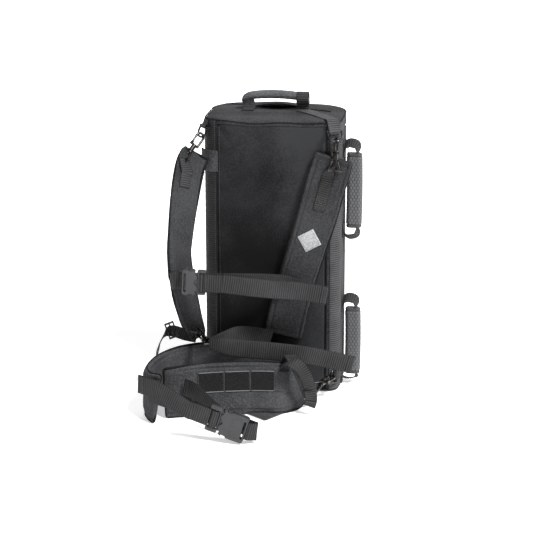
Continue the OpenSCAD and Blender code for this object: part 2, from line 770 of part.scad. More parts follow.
module reducer() {
    color("#b9bbbd") union() {
        translate([-14, 0, neck_z + 17]) rotate([0, -90, 0]) round_bar(14, 30);
        translate([-34, 0, neck_z + 17]) round_bar(6, 24);
    }
}

module tank_straps() {
    color("#2b2d30") for (z = [130, 330]) translate([0, 0, z]) rotate_extrude()
        translate([tank_r, 0]) square([web_t, wide_web]);
}

module foam_cradle() {
    color("#3a3d40") difference() {
        translate([-100, -half_d + wall, panel_t]) cube([200, half_d - wall + 60, 40]);
        translate([0, 0, tank_z]) rotate_extrude() square([tank_r + 1, 100]);
    }
}

// Plain sewn patch on the right pad: a soft square standing on its corner
module badge() {
    color("#d8dadb") oriented([80.5, -111.4, 332], [-0.30, 0, -0.95], [0.95, 0, -0.3])
        rotate([90, 0, 0]) rotate(45) cube([34, 34, 1.2], center = true);
}

base_panel();
back_panel();
side_panel_left();
side_panel_right();
top_panel();
front_boxing();
corner_webbing();
load_straps();
handle_anchors();
ring_tabs();
side_anchors();
shoulder_pad_left();
shoulder_pad_right();
anchor_webbing_left();
anchor_webbing_right();
sternum_anchor();
sternum_strap();
belly_strap();
hip_belt();
gear_loop_strip();
belt_webbing_left();
belt_webbing_right();
stabiliser_strap();
pad_hardware();
tri_glide();
lower_strap_right();
swivel_rings();
air_tank();
valve_body();
pressure_gauge();
reducer();
tank_straps();
foam_cradle();
zipper_teeth();
sternum_socket();
hip_socket();
front_cover();
cover_zipper_teeth();
zip_slider();
zip_pull();
handle_webbing();
handle_grip();
d_ring_top_left();
d_ring_top_right();
d_ring_low_left();
d_ring_low_right();
hook_top_left();
hook_top_right();
hook_low_right();
hook_belly();
gate_top_left();
gate_top_right();
gate_low_right();
gate_belly();
sternum_plug();
hip_plug();
hand_wheel();
grip_upper();
grip_lower();
badge();
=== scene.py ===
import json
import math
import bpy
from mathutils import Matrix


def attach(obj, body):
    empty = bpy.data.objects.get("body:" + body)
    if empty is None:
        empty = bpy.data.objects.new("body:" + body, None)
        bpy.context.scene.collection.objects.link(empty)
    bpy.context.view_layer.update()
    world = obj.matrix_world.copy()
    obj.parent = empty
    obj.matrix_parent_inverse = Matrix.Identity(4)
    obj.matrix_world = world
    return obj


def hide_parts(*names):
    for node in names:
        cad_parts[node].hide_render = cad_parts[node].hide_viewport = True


bl_info = {
    "name": "Air Pack",
    "version": (1, 0, 0),
    "blender": (4, 5, 0),
    "location": "View3D > Sidebar > Air Pack",
    "description": "Soft goods, hardware finishes and stage for a breathing-air pack with a harness",
    "category": "Object",
}

import bpy
import numpy as np
from bpy.props import FloatProperty, FloatVectorProperty, PointerProperty
from mathutils import Vector
from mathutils.bvhtree import BVHTree

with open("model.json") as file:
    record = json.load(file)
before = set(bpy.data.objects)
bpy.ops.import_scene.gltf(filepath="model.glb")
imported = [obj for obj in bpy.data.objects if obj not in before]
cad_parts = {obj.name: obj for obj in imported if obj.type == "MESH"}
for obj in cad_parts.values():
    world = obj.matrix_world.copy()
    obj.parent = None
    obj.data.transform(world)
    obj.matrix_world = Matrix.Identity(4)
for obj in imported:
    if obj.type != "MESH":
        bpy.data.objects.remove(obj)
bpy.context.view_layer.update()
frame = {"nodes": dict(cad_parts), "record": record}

# Lengths below are in millimetres, in the frame's own axes; MM turns them into metres.
MM = 0.001

# Plan of the bag, as the frame has it
HALF_W, HALF_D, BAG_H = 138, 86, 576
NEAR_R, FAR_R = 26, 70
NEAR_X, NEAR_Y = HALF_W - NEAR_R, -HALF_D + NEAR_R
FAR_X, FAR_Y = HALF_W - FAR_R, HALF_D - FAR_R
SEAM_Y = 10
SILL_Z, HEADER_Z = 34, 546
LEG_X = (-59.5, 52.5)
SLOT_X, SLOT_Y = -3.5, 28
WIDE, NARROW = 38, 25
TOP_RING_Z, LOW_RING_Z, RING_OUT = 556, 39, 32.9
TOP_RING_DEG = {-1: 40, 1: 62}
SIDE_Y, SLEEVE_X, FOLD_X = -20, 161.5, 143
GRIP_SPANS = {"grip_lower": (15, 173), "grip_upper": (333, 503)}

# Quilted seams of the door: heights of the level ones, and how far the upright ones are from its middle
QUILT_Z, QUILT_S = (190, 392), 96


# ---------------------------------------------------------------- settings


class AirPackSizes(bpy.types.PropertyGroup):
    """Sizes of the woven and sewn detail."""

    rib_pitch: FloatProperty(
        name="Rib pitch", description="Distance between two ribs of the webbing",
        default=4.5 * MM, min=1.5 * MM, max=6 * MM, unit="LENGTH", subtype="DISTANCE")
    rib_height: FloatProperty(
        name="Rib height", description="How far a rib stands out of the webbing",
        default=0.6 * MM, min=0, max=1 * MM, unit="LENGTH", subtype="DISTANCE")
    web_thickness: FloatProperty(
        name="Webbing thickness", description="Thickness of the straps",
        default=2.0 * MM, min=1 * MM, max=3 * MM, unit="LENGTH", subtype="DISTANCE")
    stitch_length: FloatProperty(
        name="Stitch length", description="Length of one stitch and the gap after it",
        default=3.4 * MM, min=2 * MM, max=6 * MM, unit="LENGTH", subtype="DISTANCE")
    swell: FloatProperty(
        name="Pad swell", description="Most that a point of a pad may move when the pad is filled",
        default=5 * MM, min=0, max=12 * MM, unit="LENGTH", subtype="DISTANCE")


class AirPackColours(bpy.types.PropertyGroup):
    """Colours of the main finishes."""

    cloth: FloatVectorProperty(
        name="Bag cloth", description="Body colour of the bag's nylon",
        default=(0.0330, 0.0334, 0.0348), subtype="COLOR", min=0, max=1)
    panel: FloatVectorProperty(
        name="Harness panel", description="Colour of the cloth on the wearer's side",
        default=(0.0150, 0.0153, 0.0163), subtype="COLOR", min=0, max=1)
    webbing: FloatVectorProperty(
        name="Webbing", description="Colour of the straps",
        default=(0.0215, 0.0215, 0.0224), subtype="COLOR", min=0, max=1)
    pad: FloatVectorProperty(
        name="Pads", description="Colour of the shoulder pads and the belt",
        default=(0.0430, 0.0438, 0.0460), subtype="COLOR", min=0, max=1)
    plastic: FloatVectorProperty(
        name="Buckles", description="Colour of the moulded buckles",
        default=(0.030, 0.0305, 0.0325), subtype="COLOR", min=0, max=1)
    tank: FloatVectorProperty(
        name="Cylinder", description="Colour of the air cylinder's shell",
        default=(0.62, 0.40, 0.06), subtype="COLOR", min=0, max=1)


def sizes():
    return bpy.context.scene.air_pack_sizes


def colours():
    return bpy.context.scene.air_pack_colours


# ---------------------------------------------------------------- finishes


class Level:
    """A value in a material: arithmetic on it adds Math nodes."""

    def __init__(self, finish, socket):
        self.finish, self.socket = finish, socket

    def math(self, operation, other=0.0, flipped=False):
        pair = (other, self) if flipped else (self, other)
        return self.finish.node("ShaderNodeMath", {"operation": operation}, {0: pair[0], 1: pair[1]})

    def __add__(self, other):
        return self.math("ADD", other)

    __radd__ = __add__

    def __mul__(self, other):
        return self.math("MULTIPLY", other)

    __rmul__ = __mul__

    def __sub__(self, other):
        return self.math("SUBTRACT", other)

    def __rsub__(self, other):
        return self.math("SUBTRACT", other, flipped=True)

    def __pow__(self, other):
        return self.math("POWER", other)

    def __gt__(self, other):
        return self.math("GREATER_THAN", other)


class Finish:
    """A node material, built on its Principled shader."""

    def __init__(self, name, **constants):
        self.material = bpy.data.materials.new(name)
        self.material.use_nodes = True
        self.tree = self.material.node_tree
        self.shader = self.tree.nodes["Principled BSDF"]
        for socket, value in constants.items():
            self.shader.inputs[socket.replace("_", " ")].default_value = value

    def node(self, kind, settings=None, inputs=None, out=0):
        """Any node: its settings are set first, then its inputs. Returns one of its outputs."""
        made = self.tree.nodes.new(kind)
        for name, value in (settings or {}).items():
            if name == "stops":
                ramp = made.color_ramp.elements
                while len(ramp) < len(value):
                    ramp.new(0.5)
                for stop, (place, colour) in zip(ramp, value):
                    stop.position, stop.color = place, colour
            else:
                setattr(made, name, value)
        for name, value in (inputs or {}).items():
            self.put(value, made.inputs[name])
        return Level(self, made.outputs[out])

    def put(self, value, socket):
        if isinstance(value, Level):
            self.tree.links.new(value.socket, socket)
        else:
            socket.default_value = value

    def set(self, **inputs):
        for name, value in inputs.items():
            self.put(value, self.shader.inputs[name.replace("_", " ")])
        return self.material

    def place(self):
        return self.node("ShaderNodeTexCoord", out="Object")

    def stretched(self, scale):
        return self.node("ShaderNodeVectorMath", {"operation": "MULTIPLY"}, {0: self.place(), 1: scale})

    def noise(self, scale, detail=2.0, vector=None):
        return self.node("ShaderNodeTexNoise", {}, {
            "Vector": vector or self.place(), "Scale": scale, "Detail": detail})

    def attribute(self, name, out="Fac"):
        return self.node("ShaderNodeAttribute", {"attribute_name": name}, out=out)

    def mix(self, factor, a, b):
        return self.node("ShaderNodeMix", {"data_type": "RGBA"}, {0: factor, 6: a, 7: b}, out=2)

    def ramp(self, value, low, high):
        return self.node("ShaderNodeMapRange", {}, {"Value": value, 1: low, 2: high})

    def bump(self, height, distance, strength=1.0):
        return self.node("ShaderNodeBump", {}, {
            "Strength": strength, "Distance": distance, "Height": height})


def shade(colour, factor):
    return tuple(min(1.0, c * factor) for c in colour[:3]) + (1.0,)


def woven(name, colour, thread=0.9, rough=0.86, smoke=0.35, grain=0.5, painted_light=0.0):
    """Plain-weave nylon: threads over and under, a soft cloudy fade and pale flecks.

    The last argument sets how much painted light makes the cloth paler towards its right side and its top,
    and how much painted shade makes it darker towards its left side and its foot.
    """
    f = Finish(name, Sheen_Weight=0.03, Sheen_Roughness=0.4, Specular_IOR_Level=0.08)
    x, y, z = (f.node("ShaderNodeSeparateXYZ", {}, {0: f.place()}, out=axis) for axis in range(3))
    turn = 2 * math.pi / (thread * MM)
    waves = [(axis * turn).math("SINE") for axis in (x + y, z)]
    threads = waves[0] * waves[1]
    cloud = f.ramp(f.noise(9, 6), 0.38, 0.64)
    fleck = f.ramp(f.noise(330, 4), 0.40, 0.66)
    # Painted light and shade: paler towards the right and the top, darker towards the left and the foot.
    painted_light_ramp = f.ramp(x, 0.0, 0.11) * 1.3 + f.ramp(z, 0.24, 0.52) * 0.55 - 0.55
    tone = cloud * smoke + fleck * grain + painted_light_ramp * painted_light
    f.set(Base_Color=f.mix(tone, shade(colour, 0.45), shade(colour, 2.1)),
          Roughness=f.ramp(fleck, -1.0, 3.0) * 0.3 + (rough - 0.15),
          Normal=f.bump(threads * 0.4 + f.noise(420, 3) * 1.1, 0.35 * MM, 0.6))
    return f.material


def strap_weave(name, colour, rough=0.72):
    """Ribbed nylon webbing: rib tops painted paler and grooves painted darker as light and shade, and fine
    lines along the strap.
    """
    f = Finish(name, Sheen_Weight=0.03, Sheen_Roughness=0.4, Specular_IOR_Level=0.18)
    relief = f.attribute("relief")
    across = f.node("ShaderNodeSeparateXYZ", {}, {0: f.attribute("lay", "Vector")}, out=1)
    fine = (across * (2 * math.pi / (1.1 * MM))).math("SINE")
    wear = f.ramp(f.noise(22, 3), 0.35, 0.70)
    speck = f.noise(1100, 2)
    # Painted shade and light: the relief attribute paints the grooves darker and the rib tops paler.
    tone = relief * 0.62 + wear * 0.26 + speck * 0.3 - 0.14
    f.set(Base_Color=f.mix(tone, shade(colour, 0.25), shade(colour, 2.7)),
          Roughness=wear * 0.12 + (rough - 0.06),
          Normal=f.bump(fine * 0.35 + speck, 0.25 * MM, 0.6))
    return f.material


def embossed(name, colour):
    """Foam-backed cloth pressed into cells, with the cushions painted paler as light and the channels painted
    darker as shade.
    """
    f = Finish(name, Sheen_Weight=0.06, Sheen_Roughness=0.5, Specular_IOR_Level=0.34)
    relief = f.attribute("relief")
    speck = f.noise(1200, 2)
    # Painted shade and light: the relief attribute paints the channels dark and the cushions pale.
    f.set(Base_Color=f.mix(relief * 0.8 + speck * 0.25, shade(colour, 0.22), shade(colour, 2.6)),
          Roughness=0.66 - relief * 0.14,
          Normal=f.bump(speck, 0.2 * MM, 0.5))
    return f.material


def fuzzy(name, colour):
    """Loop tape: a dense pile of small dark loops."""
    f = Finish(name, Sheen_Weight=0.10, Sheen_Roughness=0.6, Specular_IOR_Level=0.10)
    loops = f.node("ShaderNodeTexVoronoi", {"feature": "SMOOTH_F1"}, {
        "Vector": f.place(), "Scale": 640.0})
    tuft = f.ramp(f.noise(700, 3), 0.42, 0.66)
    f.set(Base_Color=f.mix(tuft, shade(colour, 0.25), shade(colour, 1.7)),
          Roughness=0.92 - tuft * 0.08,
          Normal=f.bump(tuft - loops, 0.9 * MM, 0.9))
    return f.material


def moulded(name, colour, rough=0.46):
    """Acetal plastic with a fine spark-eroded grain."""
    f = Finish(name, Specular_IOR_Level=0.45)
    grain = f.noise(1500, 3)
    patch = f.ramp(f.noise(30, 3), 0.3, 0.7)
    f.set(Base_Color=f.mix(patch * 0.6 + grain * 0.3, shade(colour, 0.8), shade(colour, 1.35)),
          Roughness=patch * 0.12 + (rough - 0.06),
          Normal=f.bump(grain, 0.12 * MM, 0.35))
    return f.material


def metal(name, colour, rough=0.25, brushed=(1, 1, 1), worn=1.5):
    """Plated or painted metal with brighter, smoother rubbed patches."""
    f = Finish(name, Metallic=1.0)
    rub = f.ramp(f.noise(90, 4, f.stretched(brushed)), 0.42, 0.68)
    fine = f.noise(900, 2, f.stretched(brushed))
    f.set(Base_Color=f.mix(rub, shade(colour, 0.75), shade(colour, worn)),
          Roughness=(rough + 0.08) - rub * 0.12,
          Normal=f.bump(fine, 0.05 * MM, 0.3))
    return f.material


def wound(name, colour):
    """Fibre-wound cylinder under clear resin: crossing bands and a hard gloss coat."""
    f = Finish(name, Specular_IOR_Level=0.5, Coat_Roughness=0.08)
    x, y, z = (f.node("ShaderNodeSeparateXYZ", {}, {0: f.place()}, out=axis) for axis in range(3))
    turn = y.math("ARCTAN2", x)
    bands = ((turn * 7 + z * 160).math("SINE") + (turn * -7 + z * 160).math("SINE")) * 0.25 + 0.5
    streak = f.ramp(f.noise(60, 4, f.stretched((1, 1, 9))), 0.35, 0.7)
    f.set(Base_Color=f.mix(bands * 0.55 + streak * 0.4, shade(colour, 0.72), shade(colour, 1.25)),
          Roughness=streak * 0.14 + 0.26, Coat_Weight=streak * 0.3 + 0.55,
          Normal=f.bump(bands, 0.4 * MM, 0.35))
    return f.material


def porous(name, colour):
    """Open-cell foam."""
    f = Finish(name, Specular_IOR_Level=0.2)
    cells = f.node("ShaderNodeTexVoronoi", {}, {"Vector": f.place(), "Scale": 420.0})
    f.set(Base_Color=f.mix(cells, shade(colour, 0.5), shade(colour, 1.6)),
          Roughness=0.95 - cells * 0.1, Normal=f.bump(cells, 1.2 * MM, 0.8))
    return f.material


def dial(name):
    """Gauge face: pale card with a ring of marks and one coloured quarter."""
    f = Finish(name, Specular_IOR_Level=0.5, Coat_Weight=0.6, Coat_Roughness=0.05)
    x, y, z = (f.node("ShaderNodeSeparateXYZ", {}, {0: f.place()}, out=axis) for axis in range(3))
    lift = z - 0.491
    reach = (x * x + lift * lift) ** 0.5
    marks = ((lift.math("ARCTAN2", x) * 24).math("SINE") > 0.75) * (reach > 0.0115) * (0.0140 - reach > 0.0)
    f.set(Base_Color=f.mix(marks, (0.80, 0.80, 0.77, 1), (0.03, 0.03, 0.03, 1)),
          Roughness=f.noise(300, 2) * 0.1 + 0.35)
    return f.material


def make_finishes():
    c = colours()
    thread = tuple(c.webbing)
    return {
        "bag_fabric": woven("bag_fabric", c.cloth),
        # The harness panel carries painted light and shade: paler to its right and top, darker to its left
        # and low down.
        "panel_fabric": woven("panel_fabric", c.panel, smoke=0.60, grain=0.40, painted_light=0.90),
        "webbing": strap_weave("webbing", thread),
        "pad_fabric": woven("pad_fabric", c.pad, thread=0.7, smoke=0.22, grain=0.32),
        "belt_fabric": woven("belt_fabric", shade(c.pad, 1.25), thread=0.8, smoke=0.25, grain=0.35),
        # Copy of the pad cloth painted 1.9 times paler, as painted light on the handle and its first leg.
        "handle_cloth": woven("handle_cloth", shade(c.pad, 1.9), thread=0.8, smoke=0.4, grain=0.4),
        "loop_tape": fuzzy("loop_tape", (0.0075, 0.0075, 0.008)),
        "grip_fabric": embossed("grip_fabric", (0.040, 0.0405, 0.042)),
        "zip_tape": strap_weave("zip_tape", (0.009, 0.009, 0.0095)),
        "buckle_plastic": moulded("buckle_plastic", c.plastic),
        "ring_steel": metal("ring_steel", (0.022, 0.022, 0.024), rough=0.30, worn=2.4),
        "hook_metal": metal("hook_metal", (0.070, 0.066, 0.064), rough=0.22, worn=2.4),
        "tank_composite": wound("tank_composite", c.tank),
        "valve_brass": metal("valve_brass", (0.62, 0.56, 0.48), rough=0.28),
        "valve_steel": metal("valve_steel", (0.50, 0.51, 0.52), rough=0.22),
        "wheel_rubber": moulded("wheel_rubber", (0.022, 0.022, 0.023), rough=0.7),
        "gauge_face": dial("gauge_face"),
        "foam": porous("foam", (0.055, 0.057, 0.060)),
        "badge_cloth": woven("badge_cloth", (0.46, 0.47, 0.48), thread=0.8, smoke=0.18, grain=0.25),
        "thread": moulded("thread", (0.070, 0.070, 0.074), rough=0.6),
        # Painted-light (paler) and painted-shade (darker) copies of the webbing, for the near corners and the
        # right load strap.
        "webbing_worn": strap_weave("webbing_worn", shade(thread, 1.7)),
        "webbing_dark": strap_weave("webbing_dark", shade(thread, 0.5)),
        "webbing_pale": strap_weave("webbing_pale", (0.085, 0.085, 0.088)),
        "binding": woven("binding", (0.0125, 0.0125, 0.0135), thread=1.3, smoke=0.2, grain=0.3),
    }


FINISHES = {}


def finish(name):
    if not FINISHES:
        FINISHES.update(make_finishes())
    return FINISHES[name]


# ---------------------------------------------------------------- mesh tools


def unit(v):
    v = np.asarray(v, float)
    return v / np.linalg.norm(v, axis=-1, keepdims=True)


def piece(name, verts, faces, body, slot, look=None, replaces=(), lay=None, relief=None):
    """A mesh object from points in millimetres, riding on a body, with its finish and its attributes."""
    mesh = bpy.data.meshes.new(name)
    mesh.from_pydata((np.asarray(verts, float).reshape(-1, 3) * MM).tolist(), [], faces)
    mesh.validate()
    mesh.shade_smooth()
    count = len(mesh.vertices)
    if lay is not None:
        made = mesh.attributes.new("lay", "FLOAT_VECTOR", "POINT")
        made.data.foreach_set("vector", (np.asarray(lay, float).reshape(count, 3) * MM).ravel())
    level = np.ones(count) if relief is None else np.asarray(relief, float).reshape(count)
    mesh.attributes.new("relief", "FLOAT", "POINT").data.foreach_set("value", level.astype(np.float32))
    made = bpy.data.objects.new(name, mesh)
    bpy.context.collection.objects.link(made)
    mesh.materials.append(finish(look or slot))
    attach(made, body)
    if replaces:
        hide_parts(*replaces)
    return made


def quads(rows, cols, wrap=False):
    """Faces of a grid of points, row by row; with wrap the last column joins the first."""
    spans = cols if wrap else cols - 1
    return [(r * cols + c, r * cols + (c + 1) % cols, (r + 1) * cols + (c + 1) % cols, (r + 1) * cols + c)
            for r in range(rows - 1) for c in range(spans)]


def slab(name, outer, inner, body, slot, wrap=False, **more):
    """A closed sheet with thickness between two grids of points; with wrap its columns go all round."""
    rows, cols = outer.shape[:2]
    n = rows * cols
    faces = [f[::-1] for f in quads(rows, cols, wrap)]
    faces += [tuple(n + i for i in f) for f in quads(rows, cols, wrap)]
    for row in (0, rows - 1):
        for c in range(cols if wrap else cols - 1):
            a, b = row * cols + c, row * cols + (c + 1) % cols
            faces.append((a, b, b + n, a + n) if row == 0 else (b, a, a + n, b + n))
    if not wrap:
        for col in (0, cols - 1):
            for r in range(rows - 1):
                a, b = r * cols + col, (r + 1) * cols + col
                faces.append((b, a, a + n, b + n) if col == 0 else (a, b, b + n, a + n))
    for key in ("lay", "relief"):
        if more.get(key) is not None:
            more[key] = np.concatenate([more[key], more[key]])
    verts = np.concatenate([outer.reshape(-1, 3), inner.reshape(-1, 3)])
    return piece(name, verts, faces, body, slot, **more)


def hose(name, rings, body, slot, **more):
    """A closed skin over rings of points, shut at both ends."""
    rows, cols = rings.shape[:2]
    faces = quads(rows, cols, wrap=True)
    faces += [tuple(range(cols))[::-1], tuple((rows - 1) * cols + i for i in range(cols))]
    return piece(name, rings, faces, body, slot, **more)


def rounded(distance, rim):
    """0 at a border and 1 from rim inwards, along a quarter circle."""
    d = np.clip(distance / rim, 0, 1)
    return np.sqrt(np.maximum(0, 1 - (1 - d) ** 2))


def bell(x, middle, width):
    return np.exp(-((x - middle) / width) ** 2)


def cords_of(lines, radius, sides=6):
    """Points and faces of round cords along lines of points."""
    verts, faces, base = [], [], 0
    turn = np.linspace(0, 2 * math.pi, sides, endpoint=False)
    for line in lines:
        line = np.asarray(line, float)
        way = unit(np.gradient(line, axis=0))
        helper = np.where(np.abs(way[:, 2:3]) > 0.9, [[1.0, 0, 0]], [[0, 0, 1.0]])
        p = unit(np.cross(way, helper))
        q = np.cross(way, p)
        taper = np.ones(len(line))
        taper[[0, -1]] = 0.35
        ring = (line[:, None] + radius * taper[:, None, None]
                * (np.cos(turn)[None, :, None] * p[:, None] + np.sin(turn)[None, :, None] * q[:, None]))
        verts.append(ring.reshape(-1, 3))
        rows = len(line)
        faces += [tuple(base + i for i in f) for f in quads(rows, sides, wrap=True)]
        faces += [tuple(base + i for i in range(sides))[::-1],
                  tuple(base + (rows - 1) * sides + i for i in range(sides))]
        base += rows * sides
    return np.concatenate(verts), faces


def resample(line, step):
    line = np.asarray(line, float)
    run = np.concatenate([[0], np.cumsum(np.linalg.norm(np.diff(line, axis=0), axis=1))])
    count = max(2, int(round(run[-1] / step)) + 1)
    at = np.linspace(0, run[-1], count)
    return np.stack([np.interp(at, run, line[:, k]) for k in range(line.shape[1])], axis=1)


def cording(name, lines, radius, body, slot="bag_fabric", look="binding", step=4.0, sides=6):
    """Piping or bound edges along lines."""
    verts, faces = cords_of([resample(line, step) for line in lines], radius, sides)
    return piece(name, verts, faces, body, slot, look=look)


def stitching(name, lines, body, slot="webbing", radius=0.42):
    """Rows of separate stitches along lines."""
    length = sizes().stitch_length / MM
    verts, faces = [], []
    for line in lines:
        run = resample(line, length)
        for a, b in zip(run[:-1], run[1:]):
            way = b - a
            if np.linalg.norm(way) < 1e-6:
                continue
            way = unit(way)
            p = unit(np.cross(way, [0.31, 0.17, 0.93]))
            q = np.cross(way, p)
            mid, half = (a + b) / 2, length * 0.36
            base = len(verts)
            verts += [mid - way * half, mid + way * half]
            verts += [mid + (p * i + q * j) * radius * 1.35 for i, j in ((1, 0), (0, 1), (-1, 0), (0, -1))]
            for k in range(4):
                c, d = base + 2 + k, base + 2 + (k + 1) % 4
                faces += [(base, d, c), (base + 1, c, d)]
    return piece(name, verts, faces, body, slot, look="thread")


class Strip:
    """A flat strap or pad along stations: centre, direction across it, width.

    Points on it are given as distance along, distance across from its middle, and lift off its outer face.
    """

    def __init__(self, stations, thick, out=-1):
        s = np.asarray(stations, float)
        fine = []
        for i in range(len(s) - 1):
            a, b, c, d = s[max(i - 1, 0)], s[i], s[i + 1], s[min(i + 2, len(s) - 1)]
            for t in np.linspace(0, 1, 24, endpoint=False):
                fine.append(0.5 * (2 * b + (c - a) * t + (2 * a - 5 * b + 4 * c - d) * t * t
                                   + (3 * b - a - 3 * c + d) * t ** 3))
        fine.append(s[-1])
        fine = np.array(fine)
        step = np.linalg.norm(np.diff(fine[:, :3], axis=0), axis=1)
        self.run = np.concatenate([[0], np.cumsum(step)])
        self.data = fine
        self.length, self.thick, self.out = self.run[-1], thick, out

    def frames(self, along):
        along = np.asarray(along, float)
        row = np.stack([np.interp(along, self.run, self.data[:, k]) for k in range(7)], axis=-1)
        ahead = np.clip(along + 1.5, 0, self.length)
        behind = np.clip(along - 1.5, 0, self.length)
        p1 = np.stack([np.interp(ahead, self.run, self.data[:, k]) for k in range(3)], axis=-1)
        p0 = np.stack([np.interp(behind, self.run, self.data[:, k]) for k in range(3)], axis=-1)
        t = unit(p1 - p0)
        raw = row[..., 3:6]
        a = unit(raw - (raw * t).sum(-1, keepdims=True) * t)
        return row[..., :3], a, np.cross(a, t) * self.out, row[..., 6]

    def at(self, along, across, lift=0.0):
        """Points at a distance along, a distance across, and a lift off the outer face."""
        along, across, lift = np.broadcast_arrays(along, across, lift)
        p, a, m, _ = self.frames(along)
        return p + a * across[..., None] + m * (self.thick / 2 + lift)[..., None]

    def line(self, pairs, lift=0.0, step=3.0):
        """A line over the strip through pairs of (along, across)."""
        flat = resample(np.array(pairs, float), step)
        return self.at(flat[:, 0], flat[:, 1], lift)


def ribs(along, across, half):
    """Relief of ribbed webbing, flat along both selvedges."""
    pitch = sizes().rib_pitch / MM
    wave = 0.5 + 0.5 * np.cos(2 * math.pi * along / pitch)
    return wave * np.clip((half - np.abs(across)) / 2.0, 0, 1)


def strap(name, strip, body, slot="webbing", replaces=(), curl=0.0, look=None):
    """Ribbed webbing along a strip; with curl its middle stands proud of its edges."""
    pitch = sizes().rib_pitch / MM
    tall = sizes().rib_height / MM
    thick = sizes().web_thickness / MM
    along = np.linspace(0.0, strip.length, max(12, int(strip.length / pitch * 5)))
    share = np.array([-1, -0.97, -0.9, -0.78, -0.5, -0.2, 0.2, 0.5, 0.78, 0.9, 0.97, 1])
    _, _, _, width = strip.frames(along)
    half = width / 2
    across = half[:, None] * share[None]
    rows = np.broadcast_to(along[:, None], across.shape)
    relief = ribs(rows, across, half[:, None])
    border = np.minimum(half[:, None] - np.abs(across), np.minimum(rows, strip.length - rows) + 0.3)
    body_t = thick * (0.3 + 0.7 * rounded(border, 1.2)) / 2 + tall * (relief - 0.5)
    sag = curl * (1 - (across / half[:, None]) ** 2)
    p, a, m, _ = strip.frames(rows)
    middle = p + a * across[..., None] + m * sag[..., None]
    lay = np.stack([rows, across, np.zeros_like(across)], axis=-1).reshape(-1, 3)
    return slab(name, middle + m * body_t[..., None], middle - m * body_t[..., None], body, slot,
                replaces=replaces, lay=lay, relief=relief.ravel(), look=look)


def patch(name, strip, body, a0, a1, c0, c1, slot="webbing", thick=1.6, lift=0.3, plain=False, look=None):
    """A sewn patch on a strip's outer face, between two distances along and two across."""
    rows, cols = max(8, int((a1 - a0) / 0.8)), max(8, int((c1 - c0) / 2.5))
    along, across = np.meshgrid(np.linspace(a0, a1, rows), np.linspace(c0, c1, cols), indexing="ij")
    border = np.minimum(np.minimum(along - a0, a1 - along), np.minimum(across - c0, c1 - across))
    relief = np.ones_like(along) if plain else ribs(along, across - (c0 + c1) / 2, (c1 - c0) / 2)
    tall = 0 if plain else sizes().rib_height / MM
    top = lift + thick * (0.25 + 0.75 * rounded(border, 1.1)) + tall * (relief - 0.5) * 0.7
    lay = np.stack([along, across, np.zeros_like(along)], axis=-1).reshape(-1, 3)
    return slab(name, strip.at(along, across, top), strip.at(along, across, np.full_like(top, lift - 0.8)),
                body, slot, lay=lay, relief=relief.ravel(), look=look)


def box_x(strip, a0, a1, c0, c1, lift):
    """Lines of a sewn box with its two diagonals."""
    corners = [(a0, c0), (a1, c0), (a1, c1), (a0, c1), (a0, c0)]
    return [strip.line(corners, lift), strip.line([(a0, c0), (a1, c1)], lift),
            strip.line([(a0, c1), (a1, c0)], lift)]


def plump(obj, cap, ways):
    """Fills a pad: even mesh, a short cloth run under pressure, then one subdivision.

    The cloth's travel is kept along the directions that ways gives for its points, so the edges stay put.
    """
    scene = bpy.context.scene

    def settle():
        graph = bpy.context.evaluated_depsgraph_get()
        mesh = bpy.data.meshes.new_from_object(obj.evaluated_get(graph), depsgraph=graph)
        obj.modifiers.clear()
        obj.data = mesh

    even = obj.modifiers.new("even", "REMESH")
    even.mode, even.voxel_size, even.use_smooth_shade = "VOXEL", 4 * MM, True
    settle()
    start = np.array([v.co for v in obj.data.vertices])
    cloth = obj.modifiers.new("cloth", "CLOTH")
    cloth.settings.use_pressure = True
    cloth.settings.uniform_pressure_force = 4
    cloth.settings.effector_weights.gravity = 0
    for step in range(1, 21):
        scene.frame_set(step)
    graph = bpy.context.evaluated_depsgraph_get()
    swollen = np.array([v.co for v in obj.evaluated_get(graph).data.vertices])
    obj.modifiers.clear()
    scene.frame_set(1)
    way = ways(start / MM)
    move = way * ((swollen - start) * way).sum(-1, keepdims=True)
    far = np.linalg.norm(move, axis=1, keepdims=True)
    move *= np.minimum(1, cap / np.maximum(far, 1e-9))
    obj.data.vertices.foreach_set("co", (start + move).ravel())
    finer = obj.modifiers.new("finer", "SUBSURF")
    finer.levels = finer.render_levels = 1
    settle()
    obj.data.shade_smooth()


# ---------------------------------------------------------------- the bag


